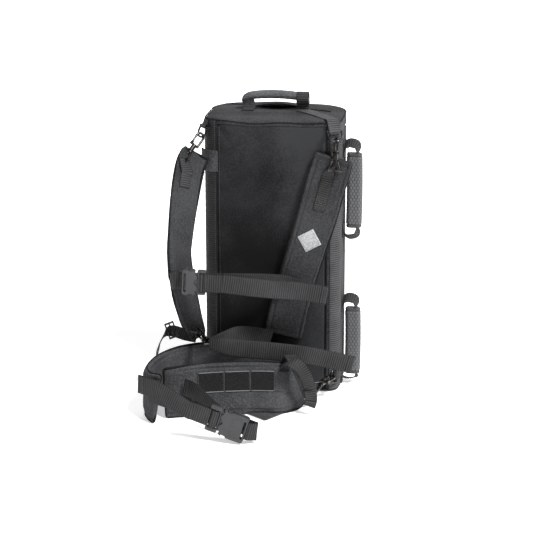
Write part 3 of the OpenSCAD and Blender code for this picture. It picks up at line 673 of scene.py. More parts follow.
def plan_table():
    """The bag's outline from the left seam round the wearer's side and the door: x, y, and the way out."""
    parts = []

    def straight(x0, y0, x1, y1, nx, ny):
        n = max(2, int(math.hypot(x1 - x0, y1 - y0)))
        t = np.linspace(0, 1, n, endpoint=False)[:, None]
        parts.append(np.hstack([[x0, y0] + t * [x1 - x0, y1 - y0], np.tile([nx, ny], (n, 1))]))

    def corner(cx, cy, r, a0, a1):
        a = np.radians(np.linspace(a0, a1, max(8, int(r)), endpoint=False))
        out = np.stack([np.cos(a), np.sin(a)], axis=1)
        parts.append(np.hstack([[cx, cy] + r * out, out]))

    straight(-HALF_W, SEAM_Y, -HALF_W, NEAR_Y, -1, 0)
    corner(-NEAR_X, NEAR_Y, NEAR_R, 180, 270)
    straight(-NEAR_X, -HALF_D, NEAR_X, -HALF_D, 0, -1)
    corner(NEAR_X, NEAR_Y, NEAR_R, 270, 360)
    straight(HALF_W, NEAR_Y, HALF_W, FAR_Y, 1, 0)
    corner(FAR_X, FAR_Y, FAR_R, 0, 90)
    straight(FAR_X, HALF_D, -FAR_X, HALF_D, 0, 1)
    corner(-FAR_X, FAR_Y, FAR_R, 90, 180)
    straight(-HALF_W, FAR_Y, -HALF_W, SEAM_Y, -1, 0)
    rows = np.concatenate(parts + [[[-HALF_W, SEAM_Y, -1, 0]]])
    run = np.concatenate([[0], np.cumsum(np.linalg.norm(np.diff(rows[:, :2], axis=0), axis=1))])
    return run, rows


PLAN_RUN, PLAN = plan_table()
ARC = NEAR_R * math.pi / 2
S_BACK0 = SEAM_Y - NEAR_Y + ARC
S_BACK1 = S_BACK0 + 2 * NEAR_X
S_SEAM = S_BACK1 + ARC + SEAM_Y - NEAR_Y
S_END = PLAN_RUN[-1]


def around(s):
    """Point and way out at a distance round the bag."""
    row = np.stack([np.interp(s, PLAN_RUN, PLAN[:, k]) for k in range(4)], axis=-1)
    return row[..., :2], unit(row[..., 2:])


def ripple(s, z, seed, size):
    """Soft unevenness of cloth, the same on every run."""
    wave = np.zeros(np.broadcast(s, z).shape)
    for k, (fs, fz) in enumerate([(0.013, 0.009), (0.021, -0.017), (0.034, 0.023), (-0.049, 0.041)]):
        wave = wave + np.sin(fs * s + fz * z + seed * (k + 1.7)) / (k + 1.6)
    return size * wave


def wall(name, s0, s1, z0, z1, puff, slot, replaces, body="pack", thick=5.0, step=5.0, top=None):
    """A padded cloth wall of the bag between two distances round it and two heights."""
    hem = np.array([0.4, 1, 2, 3.5])  # closer rows along each edge, where the wall rounds over
    s = np.linspace(s0, s1, max(3, int((s1 - s0) / step) + 1))
    s = np.unique(np.concatenate([s, s0 + hem, s1 - hem]))
    share = np.linspace(0, 1, max(3, int((z1 - z0) / step) + 1))
    share = np.unique(np.concatenate([share, hem / (z1 - z0), 1 - hem / (z1 - z0)]))
    ceiling = np.full_like(s, z1) if top is None else top(s)
    zz = z0 + share[:, None] * (ceiling - z0)[None]
    ss = np.broadcast_to(s[None], zz.shape)
    point, out = around(ss)
    edge = np.minimum(np.minimum(ss - s0, s1 - ss), np.minimum(zz - z0, ceiling[None] - zz))
    rim = rounded(edge + 0.15, 4.0)
    lift = puff(ss, zz) * rim
    outer = lift - thick / 2 * (1 - rim)
    inner = -thick + thick / 2 * (1 - rim) + lift * 0.6 * rim

    def grid(offset):
        flat = point + out * offset[..., None]
        return np.concatenate([flat, zz[..., None]], axis=-1)

    return slab(name, grid(outer), grid(inner), body, slot, replaces=replaces)


def panel_top(s):
    """The harness panel's top seam: it dips between the corners."""
    x = s - (S_BACK0 + S_BACK1) / 2
    return 570 - 6.5 * bell(x, -38, 50) - 3.2 * bell(x, 62, 40)


def panel_puff(s, z):
    x = s - (S_BACK0 + S_BACK1) / 2
    crown = 2.2 * np.sin(np.clip((z - 6) / 564, 0, 1) * math.pi) ** 0.5 * (1 - (x / 118) ** 4)
    crease = -2.6 * bell(0.80 * (x + 112) - 0.6 * (568 - z) + 4, 0, 4.2) * np.clip((z - 520) / 30, 0, 1)
    fold = -1.5 * bell(np.hypot(x + 128, (z - 520) * 0.9), 66, 5) * (x < -50) * (z > 400) * (z < 520)
    tuck = -1.6 * bell(z, 566, 7)
    dent = -2.2 * bell(x, 60, 40) * bell(z, 410, 110)
    return crown + crease + fold + tuck + dent + ripple(s, z, 2.1, 0.45)


def side_puff(s, z):
    return 1.6 * np.sin(np.clip((z - 6) / 564, 0, 1) * math.pi) ** 0.6 + ripple(s, z, 5.3, 0.5)


def cover_puff(s, z):
    mid = (S_SEAM + S_END) / 2
    share = np.clip(1 - np.abs(s - mid) / (mid - S_SEAM), 0, 1)
    panel = 5.0 * share ** 0.5 * np.sin(np.clip((z - 34) / 512, 0, 1) * math.pi) ** 0.4
    seams = -2.6 * (bell(z, QUILT_Z[0], 4) + bell(z, QUILT_Z[1], 4))
    seams = seams - 2.0 * (bell(s, mid - QUILT_S, 3.5) + bell(s, mid + QUILT_S, 3.5))
    return panel + seams * (share > 0.05) + ripple(s, z, 8.2, 0.6)


def ring_line(z, out, s0=0.0, s1=None, step=4.0):
    """A line round the bag at a height."""
    s = np.arange(s0, S_END if s1 is None else s1, step)
    point, way = around(s)
    lift = out(s) if callable(out) else out
    height = z(s) if callable(z) else np.full_like(s, z)
    return np.column_stack([point + way * np.broadcast_to(lift, s.shape)[:, None], height])


def rise_line(s, out, z0, z1, step=5.0):
    """A line up the bag's wall."""
    z = np.arange(z0, z1 + step / 2, step)
    point, way = around(np.full_like(z, s))
    lift = out(np.full_like(z, s), z) if callable(out) else out
    return np.column_stack([point + way * np.broadcast_to(lift, z.shape)[:, None], z])


class AIRPACK_OT_walls(bpy.types.Operator):
    """Padded cloth walls of the bag: base, harness panel, sides, bands, and their bound seams"""

    bl_idname = "airpack.walls"
    bl_label = "Bag walls"

    def execute(self, context):
        wall("bag_back", S_BACK0, S_BACK1, 3, 570, panel_puff, "panel_fabric", ["back_panel"], top=panel_top)
        for name, s0, s1, node in (("left", 0, S_BACK0, "side_panel_left"),
                                   ("right", S_BACK1, S_SEAM, "side_panel_right")):
            wall("bag_side_" + name, s0, s1, 3, 571, side_puff, "bag_fabric", [node])
        wall("bag_sill", S_SEAM, S_END, 3, SILL_Z, lambda s, z: 1.5 + ripple(s, z, 1.0, 0.3), "bag_fabric",
             ["front_boxing"])
        wall("bag_header", S_SEAM, S_END, HEADER_Z, 571, lambda s, z: 1.5 + ripple(s, z, 3.0, 0.3),
             "bag_fabric", [])
        self.base()
        self.seams()
        return {"FINISHED"}

    def base(self):
        """The stiffened base, with its edge rolled up into the walls."""
        s = np.linspace(0, S_END, 180, endpoint=False)
        point, out = around(s)
        rows = []
        for shrink, z in ((60, 0.2), (30, 0.1), (9, 0.0), (4, 0.3), (1, 1.8), (-0.6, 4.5), (-0.4, 6.5)):
            drawn_in = out * min(shrink, NEAR_R - 2) + point * max(0, shrink - NEAR_R + 2) / 100
            rows.append(np.column_stack([point - drawn_in, np.full_like(s, z)]))
        outer = np.array(rows)
        inner = outer + np.array([0, 0, 3.5])
        inner[..., :2] *= 0.985
        hose("bag_base", np.concatenate([outer, inner[::-1]]), "pack", "bag_fabric", replaces=["base_panel"])

    def seams(self):
        """Corded seams round the base and the top, beside the door's fold and the harness panel."""

        def rim(s):
            return np.where((s > S_BACK0) & (s < S_BACK1), panel_top(s) + 2, 572)

        cording("hinge_piping", [rise_line(0, -1.2, SILL_Z + 1, HEADER_Z - 1)], 2.6, "pack")
        cording("bag_piping", [
            ring_line(7.5, 0.9), ring_line(rim, 1.0),
            rise_line(S_BACK0 - 1, 1.3, 8, 566), rise_line(S_BACK1 + 1, 1.3, 8, 566)], 1.5, "pack")
        stitching("bag_seam_stitches", [
            rise_line(s, lambda s, z: panel_puff(s, z) + 0.1, 12, 556) for s in (S_BACK0 + 5, S_BACK1 - 5)],
            "pack", "bag_fabric", radius=0.35)


def top_height(x, y, rise):
    """Height of the soft top over the plan: domed, with the hose slot's rear lip standing up."""
    dome = 4.5 * (1 - (x / 150) ** 4) * np.clip(1 - (np.abs(y) / 90) ** 4, 0, 1)
    rear = 6.0 * bell(y, SLOT_Y + 26, 20) * bell(x, SLOT_X, 62)
    front = -1.5 * bell(y, SLOT_Y - 16, 12) * bell(x, SLOT_X, 60)
    return rise + dome + rear + front


class AIRPACK_OT_top(bpy.types.Operator):
    """Soft top of the bag, with the hose slot between its front flap and its rear lip"""

    bl_idname = "airpack.top"
    bl_label = "Top"

    def execute(self, context):
        turn = np.linspace(0, 2 * math.pi, 200, endpoint=False)
        s = np.linspace(0, S_END, 1200, endpoint=False)
        point, _ = around(s)
        rel = point - [SLOT_X, SLOT_Y]
        angle = np.arctan2(rel[:, 1], rel[:, 0]) % (2 * math.pi)
        order = np.argsort(angle)
        reach = np.interp(turn, angle[order], np.hypot(rel[:, 0], rel[:, 1])[order], period=2 * math.pi)
        lens_x, lens_y = 47 * np.cos(turn), 12.5 * np.sin(turn) * np.abs(np.sin(turn)) ** 0.35
        lens = np.hypot(lens_x, lens_y)
        lens_way = np.stack([lens_x, lens_y], axis=1) / lens[:, None]
        way = np.stack([np.cos(turn), np.sin(turn)], axis=1)
        shares = np.concatenate([[0, 0.01, 0.03], np.linspace(0.07, 0.86, 17),
                                 [0.91, 0.945, 0.97, 0.985, 0.995, 1.0]])
        outer, inner = [], []
        for t in shares:
            xy = (lens_way * lens[:, None]) * (1 - t) + way * reach[:, None] * t + [SLOT_X, SLOT_Y]
            edge = np.clip(1 - (1 - t) * reach / 11.0, 0, 1)
            roll = 6.5 * (1 - np.sqrt(np.maximum(0, 1 - edge ** 2)))
            lip = 1 - rounded(np.full_like(turn, t * 60 + 0.3), 2.2)
            near = np.clip((-xy[:, 1] - 60) / 24, 0, 1)
            sag = near * edge ** 2 * (5.0 * bell(xy[:, 0], -38, 46) + 2.6 * bell(xy[:, 0], 62, 38))
            soft = ripple(xy[:, 0] * 2.2, xy[:, 1] * 2.5, 4.4, 0.5) * (1 - edge)
            z = top_height(xy[:, 0], xy[:, 1], BAG_H - 3.4) - roll - sag + soft
            bulge = 1 + 1.3 / reach * edge
            at = (xy - [SLOT_X, SLOT_Y]) * bulge[:, None] + [SLOT_X, SLOT_Y]
            outer.append(np.column_stack([at, z - lip * 1.2]))
            inner.append(np.column_stack([xy - way * 2.5 * edge[:, None], z - 3.6 + lip * 1.2]))
        slab("bag_top", np.array(outer), np.array(inner), "pack", "bag_fabric", wrap=True,
             replaces=["top_panel"])
        hem = np.column_stack([(lens_way * (lens[:, None] + 1.2)) + [SLOT_X, SLOT_Y],
                               np.zeros_like(turn)])
        hem[:, 2] = top_height(hem[:, 0], hem[:, 1], BAG_H - 3.6)
        hem = np.concatenate([hem, hem[:1]])
        ridge = []
        for x0, x1, y0, y1 in ((-118, -50, 54, 30), (43, 110, 20, 2)):
            x = np.linspace(x0, x1, 20)
            y = np.interp(x, (x0, x1), (y0, y1)) if x1 > x0 else x
            ridge.append(np.column_stack([x, y, top_height(x, y, BAG_H - 3.2)]))
        cording("bag_top_binding", [hem] + ridge, 1.5, "pack")
        stitching("bag_top_stitches", [hem + np.array([0, 0, 0.9])], "pack",
                  "bag_fabric", radius=0.3)
        return {"FINISHED"}


class AIRPACK_OT_cover(bpy.types.Operator):
    """Zipped door: padded shell, bound edge, quilted seams and its half of the zip"""

    bl_idname = "airpack.cover"
    bl_label = "Door"

    def execute(self, context):
        z0, z1 = SILL_Z + 0.5, HEADER_Z - 0.5
        wall("cover_shell", S_SEAM + 0.6, S_END - 0.6, z0, z1, cover_puff, "bag_fabric", ["front_cover"],
             body="cover", step=4.0)
        lines = [ring_line(z, lambda s: cover_puff(s, np.full_like(s, z)) + 0.5, S_SEAM + 8, S_END - 8)
                 for z in (z0 + 5, z1 - 5)]
        lines += [ring_line(z, lambda s, h=z: cover_puff(s, np.full_like(s, h)) + 0.6, S_SEAM + 9, S_END - 9)
                  for z in [quilt + d for quilt in QUILT_Z for d in (-4, 4)]]
        stitching("cover_stitches", lines, "cover", "bag_fabric", radius=0.4)
        mid = (S_SEAM + S_END) / 2
        cording("cover_piping", [
            rise_line(mid + way * QUILT_S, lambda s, z: cover_puff(s, z) + 0.4, z0 + 3, z1 - 3)
            for way in (-1, 1)], 1.6, "cover")
        self.zip_half("cover_zip", "cover", SEAM_Y + 0.7, 1, ["cover_zipper_teeth"])
        self.zip_half("pack_zip", "pack", SEAM_Y - 0.2, -1, ["zipper_teeth"])
        return {"FINISHED"}

    def zip_half(self, name, body, y0, way, nodes):
        """Woven tape with a row of moulded teeth along its inner edge."""
        stations = [[HALF_W + 0.9, y0 + way * 6.2, z, 0, 1, 0, 12] for z in (36, 200, 380, 544)]
        strap(name + "_tape", Strip(stations, 1.0), body, "zip_tape", nodes)
        verts, faces = [], []
        pitch, tall, deep = 2.8, 1.5, 1.6
        for k in range(int(508 / pitch)):
            z = 36.5 + k * pitch + (pitch / 2 if way > 0 else 0)
            base = len(verts)
            for dy, dx, dz in ((0, 0.55, 0.62), (0.8, 1, 1), (3.0, 1, 1), (3.6, 0.6, 0.6)):
                for i, j in ((-1, -1), (1, -1), (1, 1), (-1, 1)):
                    verts.append([HALF_W + 1.1 + (i + 1) / 2 * tall * dx, y0 + way * (dy - 0.2),
                                  z + j * deep / 2 * dz])
            flip = slice(None) if way > 0 else slice(None, None, -1)
            for r in range(3):
                for c in range(4):
                    a, b = base + 4 * r + c, base + 4 * r + (c + 1) % 4
                    faces.append((a, b, b + 4, a + 4)[flip])
            faces.append((base + 3, base + 2, base + 1, base)[flip])
            faces.append((base + 12, base + 13, base + 14, base + 15)[flip])
        piece(name + "_teeth", verts, faces, body, "zip_tape", look="buckle_plastic")


class AIRPACK_OT_corner_webbing(bpy.types.Operator):
    """Ribbed webbing up both near corners, with the load straps, ring tabs and anchor patches"""

    bl_idname = "airpack.corner_webbing"
    bl_label = "Corner webbing"

    def execute(self, context):
        self.corners()
        self.load_straps()
        self.low_tabs()
        self.side_anchors()
        return {"FINISHED"}

    def round_corner(self, s, height, across, lift):
        """Points on a near corner, at a height and a distance round from its middle."""
        middle = S_BACK0 - ARC / 2 if s < 0 else S_BACK1 + ARC / 2
        point, out = around(middle - s * across)
        return np.concatenate([point + out * lift[..., None], height[..., None]], axis=-1)

    def corners(self):
        tall = sizes().rib_height / MM
        pitch = sizes().rib_pitch / MM
        for s, name in ((-1, "left"), (1, "right")):
            z = np.linspace(7, 571, int(564 / pitch * 5))
            half, shift = (19.3, 0) if s < 0 else (16.6, 2.7)
            c = half * np.array([-1, -0.97, -0.9, -0.78, -0.57, -0.3, 0, 0.3, 0.57, 0.78, 0.9, 0.97, 1])
            zz, cc = np.meshgrid(z, c, indexing="ij")
            relief = ribs(zz, cc, half)
            edge = rounded(np.minimum(half - np.abs(cc), np.minimum(zz - 7, 571 - zz)) + 0.2, 1.5)
            cc = cc - shift
            outer = self.round_corner(s, zz, cc, 1.9 + 0.7 * edge + tall * (relief - 0.4))
            inner = self.round_corner(s, zz, cc, np.full_like(zz, 0.3))
            if s > 0:
                outer, inner = outer[:, ::-1], inner[:, ::-1]
                relief, cc = relief[:, ::-1], cc[:, ::-1]
            lay = np.stack([zz, cc, 0 * zz], axis=-1).reshape(-1, 3)
            # The right corner gets the paler webbing copy as painted light, the left corner the darker copy
            # as painted shade.
            slab("corner_webbing_" + name, outer[:, ::-1], inner[:, ::-1], "pack", "webbing", lay=lay,
                 look="webbing_worn" if s > 0 else "webbing_dark",
                 relief=relief[:, ::-1].ravel(), replaces=["corner_webbing"] if s < 0 else ())
            rise = z[::8]
            proud = np.full_like(rise, 2.7)
            stitching("corner_stitches_" + name, [
                self.round_corner(s, rise, np.full_like(rise, side * (half - 2) - shift), proud)
                for side in (-1, 1)], "pack", radius=0.3)

    def load_straps(self):
        """Webbing from the right handle foot over the top edge, and a tab for each top ring's bar."""
        for s, name in ((-1, "left"), (1, "right")):
            deg = math.radians(TOP_RING_DEG[s])
            out = np.array([s * math.cos(deg), -math.sin(deg)])
            side = np.array([math.sin(deg), s * math.cos(deg)])
            centre = np.array([s * NEAR_X, NEAR_Y])
            down = [(29.6, 570), (31.0, 564), (35.9, 558), (35.4, 553.2), (32.2, 552.3), (30.2, 556),
                    (30.0, 562)]
            stations = []
            if s > 0:
                leg = np.array([LEG_X[1] + 3, -6])
                for t in (0, 0.33, 0.66, 1):
                    at = leg + (centre + out * 3 - leg) * t
                    z = float(top_height(at[0], at[1], BAG_H - 3.4)) + 1.6 - 0.5 * t
                    stations.append([*at, z, *side, 0, 27])
                down = [(17, 577.8), (25, 575.4)] + down
            for r, z in down:
                stations.append([*(centre + out * r), z, *side, 0, (27 if r < 31 else 25) if s > 0 else 17])
            # The right load strap gets the paler webbing copy as painted light.
            strap("load_strap_" + name, Strip(stations, 2.0, out=1), "pack",
                  replaces=["load_straps", "ring_tabs"] if s > 0 else (),
                  look="webbing_worn" if s > 0 else None)

    def low_tabs(self):
        """Webbing tabs that hold the low rings' upright bars."""
        for s, name in ((-1, "left"), (1, "right")):
            stations = []
            for deg, r in ((2, 29.7), (14, 29.7), (27, 30.2), (36, 33.6), (43, 36.3), (50, 35.4), (54, 32.6),
                           (48, 30.0), (38, 29.8)):
                a = math.radians(deg)
                x, y = s * (NEAR_X + r * math.cos(a)), NEAR_Y - r * math.sin(a)
                stations.append([x, y, LOW_RING_Z, 0, 0, 1, NARROW])
            strap("low_ring_tab_" + name, Strip(stations, 2.0, out=s), "pack")
        stations = []
        for deg, r in ((-4, 30), (20, 30), (45, 30.5), (68, 32.5), (88, 36)):
            a = math.radians(deg)
            stations.append([-NEAR_X - r * math.sin(a), NEAR_Y - r * math.cos(a), 486, 0, 0, 1, 44])
        strip = Strip(stations, 1.6, out=-1)
        patch("left_corner_tab", strip, "pack", 0, strip.length, -22, 22, thick=2.0, lift=0.0, plain=True,
              look="belt_fabric")
        stitching("left_corner_tab_stitches", box_x(strip, 4, strip.length - 4, -18, 18, 2.1), "pack",
                  radius=0.4)

    def side_anchors(self):
        """Sewn patches on the right side where the carry grips start."""
        lines, first = [], True
        for name, (z0, z1) in GRIP_SPANS.items():
            for end, z in (("low", z0), ("high", z1)):
                strip = Strip([[HALF_W + 2.1, SIDE_Y, z + d, 0, 1, 0, NARROW] for d in (-14, -5, 5, 14)], 1.8)
                strap(f"{name}_{end}_patch", strip, "pack", replaces=["side_anchors"] if first else ())
                lines += box_x(strip, 2.5, strip.length - 2.5, -10, 10, 0.35)
                first = False
        stitching("side_patch_stitches", lines, "pack", radius=0.35)


class AIRPACK_OT_handle(bpy.types.Operator):
    """Top handle: cloth-wrapped grip on two webbing legs, and its sewn feet"""

    bl_idname = "airpack.handle"
    bl_label = "Top handle"

    def execute(self, context):
        fold_z, grip_z = 580.0, 605.0
        x = np.concatenate([[-73, -72.6, -71.5, -69], np.linspace(-65, 58, 60), [61, 64.0, 65.3, 65.8]])
        turn = np.linspace(0, 2 * math.pi, 36, endpoint=False)
        rings = []
        for at in x:
            end = min(at + 73, 65.8 - at)
            share = (at + 3.5) / 69
            r = (9.6 - 1.2 * share ** 4) * (0.5 + 0.5 * float(rounded(np.array(end + 0.3), 7)))
            rise = 4.6 - 6.2 * share ** 2 - 5.5 * share ** 8
            crumple = 0.34 * np.sin(at * 0.55 + 3 * np.sin(turn)) * (0.35 + 0.65 * (end < 18))
            seam = -1.1 * bell(turn, 1.32 * math.pi, 0.12)
            radius = r + crumple + seam
            rings.append(np.column_stack([at - 0.10 * share ** 3 * np.sin(turn) * radius,
                                          np.cos(turn) * radius * 1.05,
                                          grip_z + rise + np.sin(turn) * radius * 0.92]))
        # The grip and its first leg take the pad cloth painted paler, as painted light.
        hose("handle_sleeve", np.array(rings), "handle", "grip_fabric", replaces=["handle_grip"],
             look="handle_cloth")
        for k, leg in enumerate(LEG_X):
            strip = Strip([[leg, y, fold_z + rise, 1, 0, 0, wide] for y, rise, wide in (
                (0.2, -1.2, NARROW), (-0.2, 5, NARROW), (-0.4, 12, NARROW), (0, 22, NARROW - 2))], 2.0)
            strap(f"handle_leg_{k}", strip, "handle", replaces=["handle_webbing"] if k == 0 else (),
                  look="handle_cloth" if k == 0 else None)
            if k == 1:
                loop = Strip([[leg, y, z, 1, 0, 0, NARROW] for y, z in (
                    (-2.6, 590), (-8, 594.5), (-11, 603), (-7, 612.5), (0, 615.2), (7, 612.5), (11, 603),
                    (8, 594.5), (2.6, 590))], 2.0, out=1)
                strap("handle_wrap", loop, "handle")
            foot = Strip([[leg, y, float(top_height(leg, y, BAG_H - 3.4)) + 1.4 + lift, 1, 0, 0, NARROW]
                          for y, lift in ((-15, 0), (-8, 0), (-1.5, 1.2), (1.5, 1.2), (8, 0), (15, 0))],
                         1.8, out=1)
            strap(f"handle_foot_{k}", foot, "pack", replaces=["handle_anchors"] if k == 0 else ())
            stitching(f"handle_foot_stitches_{k}", box_x(foot, 2.5, 12, -10, 10, 0.3)
                      + box_x(foot, 19, foot.length - 2.5, -10, 10, 0.3), "pack", radius=0.35)
        return {"FINISHED"}


def honeycomb(u, v, pitch):
    """Height of hexagonal cells: 1 on a cell, 0 in the channels between them."""
    tall = pitch * math.sqrt(3)
    best = np.full(np.broadcast(u, v).shape, -1e9)
    for du, dv in ((0, 0), (pitch / 2, tall / 2)):
        x = (u - du + pitch / 2) % pitch - pitch / 2
        y = (v - dv + tall / 2) % tall - tall / 2
        reach = np.maximum(np.abs(x), np.abs(x) / 2 + np.abs(y) * math.sqrt(3) / 2)
        best = np.maximum(best, pitch / 2 - reach)
    return np.clip(best / 0.9, 0, 1) ** 0.7


class AIRPACK_OT_side_grips(bpy.types.Operator):
    """Side carry grips: honeycomb-embossed sleeves on webbing loops"""

    bl_idname = "airpack.side_grips"
    bl_label = "Side grips"

    def execute(self, context):
        for name, (z0, z1) in GRIP_SPANS.items():
            self.sleeve(name, z0 + 6, z1 - 6)
            self.loop(name, z0, z1)
        return {"FINISHED"}

    def sleeve(self, name, z0, z1):
        """Flat-sided foam sleeve pressed into hexagonal cells, with plain bound ends."""
        flat, radius, cells = 15.0, 9.0, 12
        girth = 2 * flat + 2 * math.pi * radius
        u = np.linspace(0, girth, cells * 8, endpoint=False)
        arc = math.pi * radius
        knots = [0, flat, flat + arc, 2 * flat + arc, girth]
        turn = np.interp(u, knots, [-90, -90, 90, 90, 270]) * math.pi / 180
        middle = np.interp(u, knots, [-flat / 2, flat / 2, flat / 2, -flat / 2, -flat / 2])
        z = np.concatenate([z0 + np.array([0, 0.3, 1.0, 2.2]), np.arange(z0 + 3, z1 - 2.9, 0.85),
                            z1 - np.array([2.2, 1.0, 0.3, 0])])
        zz, uu = np.meshgrid(z, u, indexing="ij")
        relief = honeycomb(uu, zz, girth / cells)
        ends = np.minimum(zz - z0, z1 - zz)
        relief = relief * (ends > 8) + (ends <= 8) * 0.30
        seam = bell(ends, 7.4, 0.9)
        r = radius - 1.0 + 1.0 * relief - 1.2 * seam - 4.0 * (1 - rounded(ends + 0.2, 4))
        bow = 1.2 * np.sin((zz - z0) / (z1 - z0) * math.pi)
        rings = np.stack([SLEEVE_X + middle + r * np.cos(turn) + bow, SIDE_Y + r * np.sin(turn), zz], axis=-1)
        made = hose(name + "_sleeve", rings, name, "grip_fabric", replaces=[name], relief=relief.ravel())

    def loop(self, name, z0, z1):
        """Webbing that arches from each fold line over into the sleeve's end."""
        lines = []
        for end, z, way in (("low", z0, 1), ("high", z1, -1)):
            flat = 0.35 if z < 30 else 1.0  # the lowest loop stays off the ground
            strip = Strip([[x, SIDE_Y, z - way * rise * flat, lean, 1, -way * tilt * flat, wide]
                           for x, rise, wide, lean, tilt in (
                (FOLD_X - 2.5, -6.0, NARROW, 0, 0), (FOLD_X - 2.2, 3.5, NARROW, -0.2, 0.1),
                (FOLD_X + 2.5, 11.0, NARROW, -0.2, 0.5), (FOLD_X + 11.5, 14.2, NARROW, 0, 0.8),
                (SLEEVE_X + 4.5, 10.5, NARROW, 0.4, 0.6), (SLEEVE_X + 7.5, 2.0, NARROW - 4, 0.5, 0.1),
                (SLEEVE_X + 6.5, -9.0, NARROW - 10, 0, 0))], 2.4, out=way)
            strap(f"{name}_{end}_web", strip, name)
            lines.append(strip.line([(3, -9), (strip.length - 14, -8)], 0.4))
            lines.append(strip.line([(3, 9), (strip.length - 14, 8)], 0.4))
        stitching(name + "_web_stitches", lines, name, radius=0.35)


# ---------------------------------------------------------------- the harness

PAD_RIGHT = [
    [128, -94, 504, 0.96, 0, -0.27, 80],
    [113, -98, 452, 0.96, 0, -0.27, 82], [97, -102, 390, 0.95, 0, -0.30, 82],
    [77, -104, 320, 0.95, 0, -0.30, 80],
    [56, -104, 250, 0.95, 0, -0.28, 78], [40, -100, 190, 0.97, 0, -0.22, 80],
    [26, -96, 124, 0.98, 0, -0.18, 80]]
PAD_LEFT = [
    [-153, -90, 503, 0.90, 0.38, -0.20, 58], [-162, -119, 476, 0.80, 0.58, -0.16, 66],
    [-169, -147, 414, 0.64, 0.76, -0.10, 72], [-174, -164, 350, 0.54, 0.83, -0.06, 72],
    [-175, -172, 305, 0.48, 0.87, -0.02, 72], [-170, -166, 245, 0.48, 0.87, 0.06, 72],
    [-164, -150, 198, 0.50, 0.85, 0.1, 66], [-158, -134, 158, 0.60, 0.78, 0.12, 54],
    [-148, -121, 119, 0.8, 0.58, 0.10, 36]]


def belt_at(x, y, lean, cut=0):
    return [x, y, (106 - cut) / 2 + 0.4, 0, lean, 1, 106 - cut]


BELT = [
    belt_at(-190, -278, 0.14, 3), belt_at(-120, -250, 0.18),
    belt_at(-28, -226, 0.22), belt_at(36, -218, 0.18),
    belt_at(68, -196, 0.08, 12), belt_at(75, -162, 0, 22), belt_at(62, -124, 0, 20), belt_at(30, -104, 0, 8),
    belt_at(-40, -98, 0), belt_at(-120, -106, 0), belt_at(-180, -140, 0), [-214, -195, 58, 0, 0.02, 1, 96],
    [-226, -255, 62, 0, 0.05, 1, 86], [-221, -287, 59, 0.02, 0.06, 1, 92],
    [-211, -303, 55, 0.12, 0.03, 1, 100], [-194, -315, 52, 0.27, -0.04, 0.96, 106]]
HIP_MID, HIP_DIR, HIP_UP = np.array([-43, -397, 42.0]), unit([0.93, -0.08, -0.30]), [0.30, -0.10, 0.95]
CHEST_MID, CHEST_DIR = np.array([-140, -203, 264.0]), unit([1, 0.12, -0.04])
LAYER = 6.4


def locate(strip, points):
    """Distance along a strip, across it and off its outer side, for each point."""
    points = np.atleast_2d(points)
    along = np.linspace(0, strip.length, 240)
    p, a, m, _ = strip.frames(along)
    near = np.argmin(((points[:, None] - p[None]) ** 2).sum(-1), axis=1)
    d = points - p[near]
    return along[near], (d * a[near]).sum(-1), (d * m[near]).sum(-1), m[near], strip.frames(along[near])[3]


def cushion(name, strip, body, slot, node, thick, edge=0.60, inset=0.4, step=3.0):
    """A stuffed pad along a strip: thin bound edges, a crowned middle, and channels beside the edges."""
    rows = max(12, int(strip.length / step))
    along = np.concatenate([[0, 0.5, 1.5, 3], np.linspace(5, strip.length - 5, rows),
                            strip.length - np.array([3, 1.5, 0.5, 0])])
    share = np.sin(np.linspace(-math.pi / 2, math.pi / 2, 25))
    _, _, _, width = strip.frames(along)
    half = (width / 2 - inset)[:, None]
    across = half * share[None]
    rows_at = np.broadcast_to(along[:, None], across.shape)
    ends = np.minimum(rows_at, strip.length - rows_at)
    crown = edge + (1 - edge) * (1 - np.abs(share[None]) ** 3) ** 0.5
    tall = thick * crown * (0.60 + 0.40 * rounded(ends + 0.4, 7)) / 2
    p, a, m, _ = strip.frames(rows_at)
    middle = p + a * across[..., None]
    made = slab(name, middle + m * tall[..., None], middle - m * tall[..., None], body, slot, replaces=[node])
    plump(made, sizes().swell, lambda points: locate(strip, points)[3])
    co = np.array([v.co for v in made.data.vertices]) / MM
    at, off, lift, way, wide = locate(strip, co)
    near_edge = wide / 2 - np.abs(off)
    shrink = 0.34 * bell(near_edge, 9.5, 2.2) + 0.16 * bell(np.minimum(at, strip.length - at), 11, 2.4)
    dents = 0.4 * np.sin(at * 0.045 + off * 0.05) + 0.25 * np.sin(at * 0.12 - off * 0.08 + 1.3)
    limit = np.clip(lift, -thick / 2 - 1.0, thick / 2 + 1.4)
    new = co + way * (limit - lift - lift * shrink + dents * np.sign(lift) * 0.5)[:, None]
    made.data.vertices.foreach_set("co", (new * MM).ravel())
    return made


class Skin:
    """The surface of a finished pad, for laying seams and patches on it."""

    def __init__(self, obj, strip):
        mesh = obj.data
        self.tree = BVHTree.FromPolygons([v.co / MM for v in mesh.vertices],
                                         [tuple(p.vertices) for p in mesh.polygons])
        self.strip = strip

    def at(self, along, across, lift=0.0):
        """Points on the pad's outer face, moved out by lift."""
        along, across, lift = np.broadcast_arrays(along, across, np.asarray(lift, float))
        p, a, m, _ = self.strip.frames(along)
        start = p + a * across[..., None] + m * 30
        flat, way, up = start.reshape(-1, 3), m.reshape(-1, 3), lift.ravel()
        out = np.empty_like(flat)
        for k in range(len(flat)):
            hit, normal, _, _ = self.tree.ray_cast(flat[k].tolist(), (-way[k]).tolist(), 60)
            base = np.array(hit) if hit is not None else flat[k] - way[k] * (30 - self.strip.thick / 2)
            out[k] = base + way[k] * up[k]
        return out.reshape(start.shape)

    def line(self, pairs, lift=0.3, step=3.0):
        flat = resample(np.array(pairs, float), step)
        return self.at(flat[:, 0], flat[:, 1], lift)


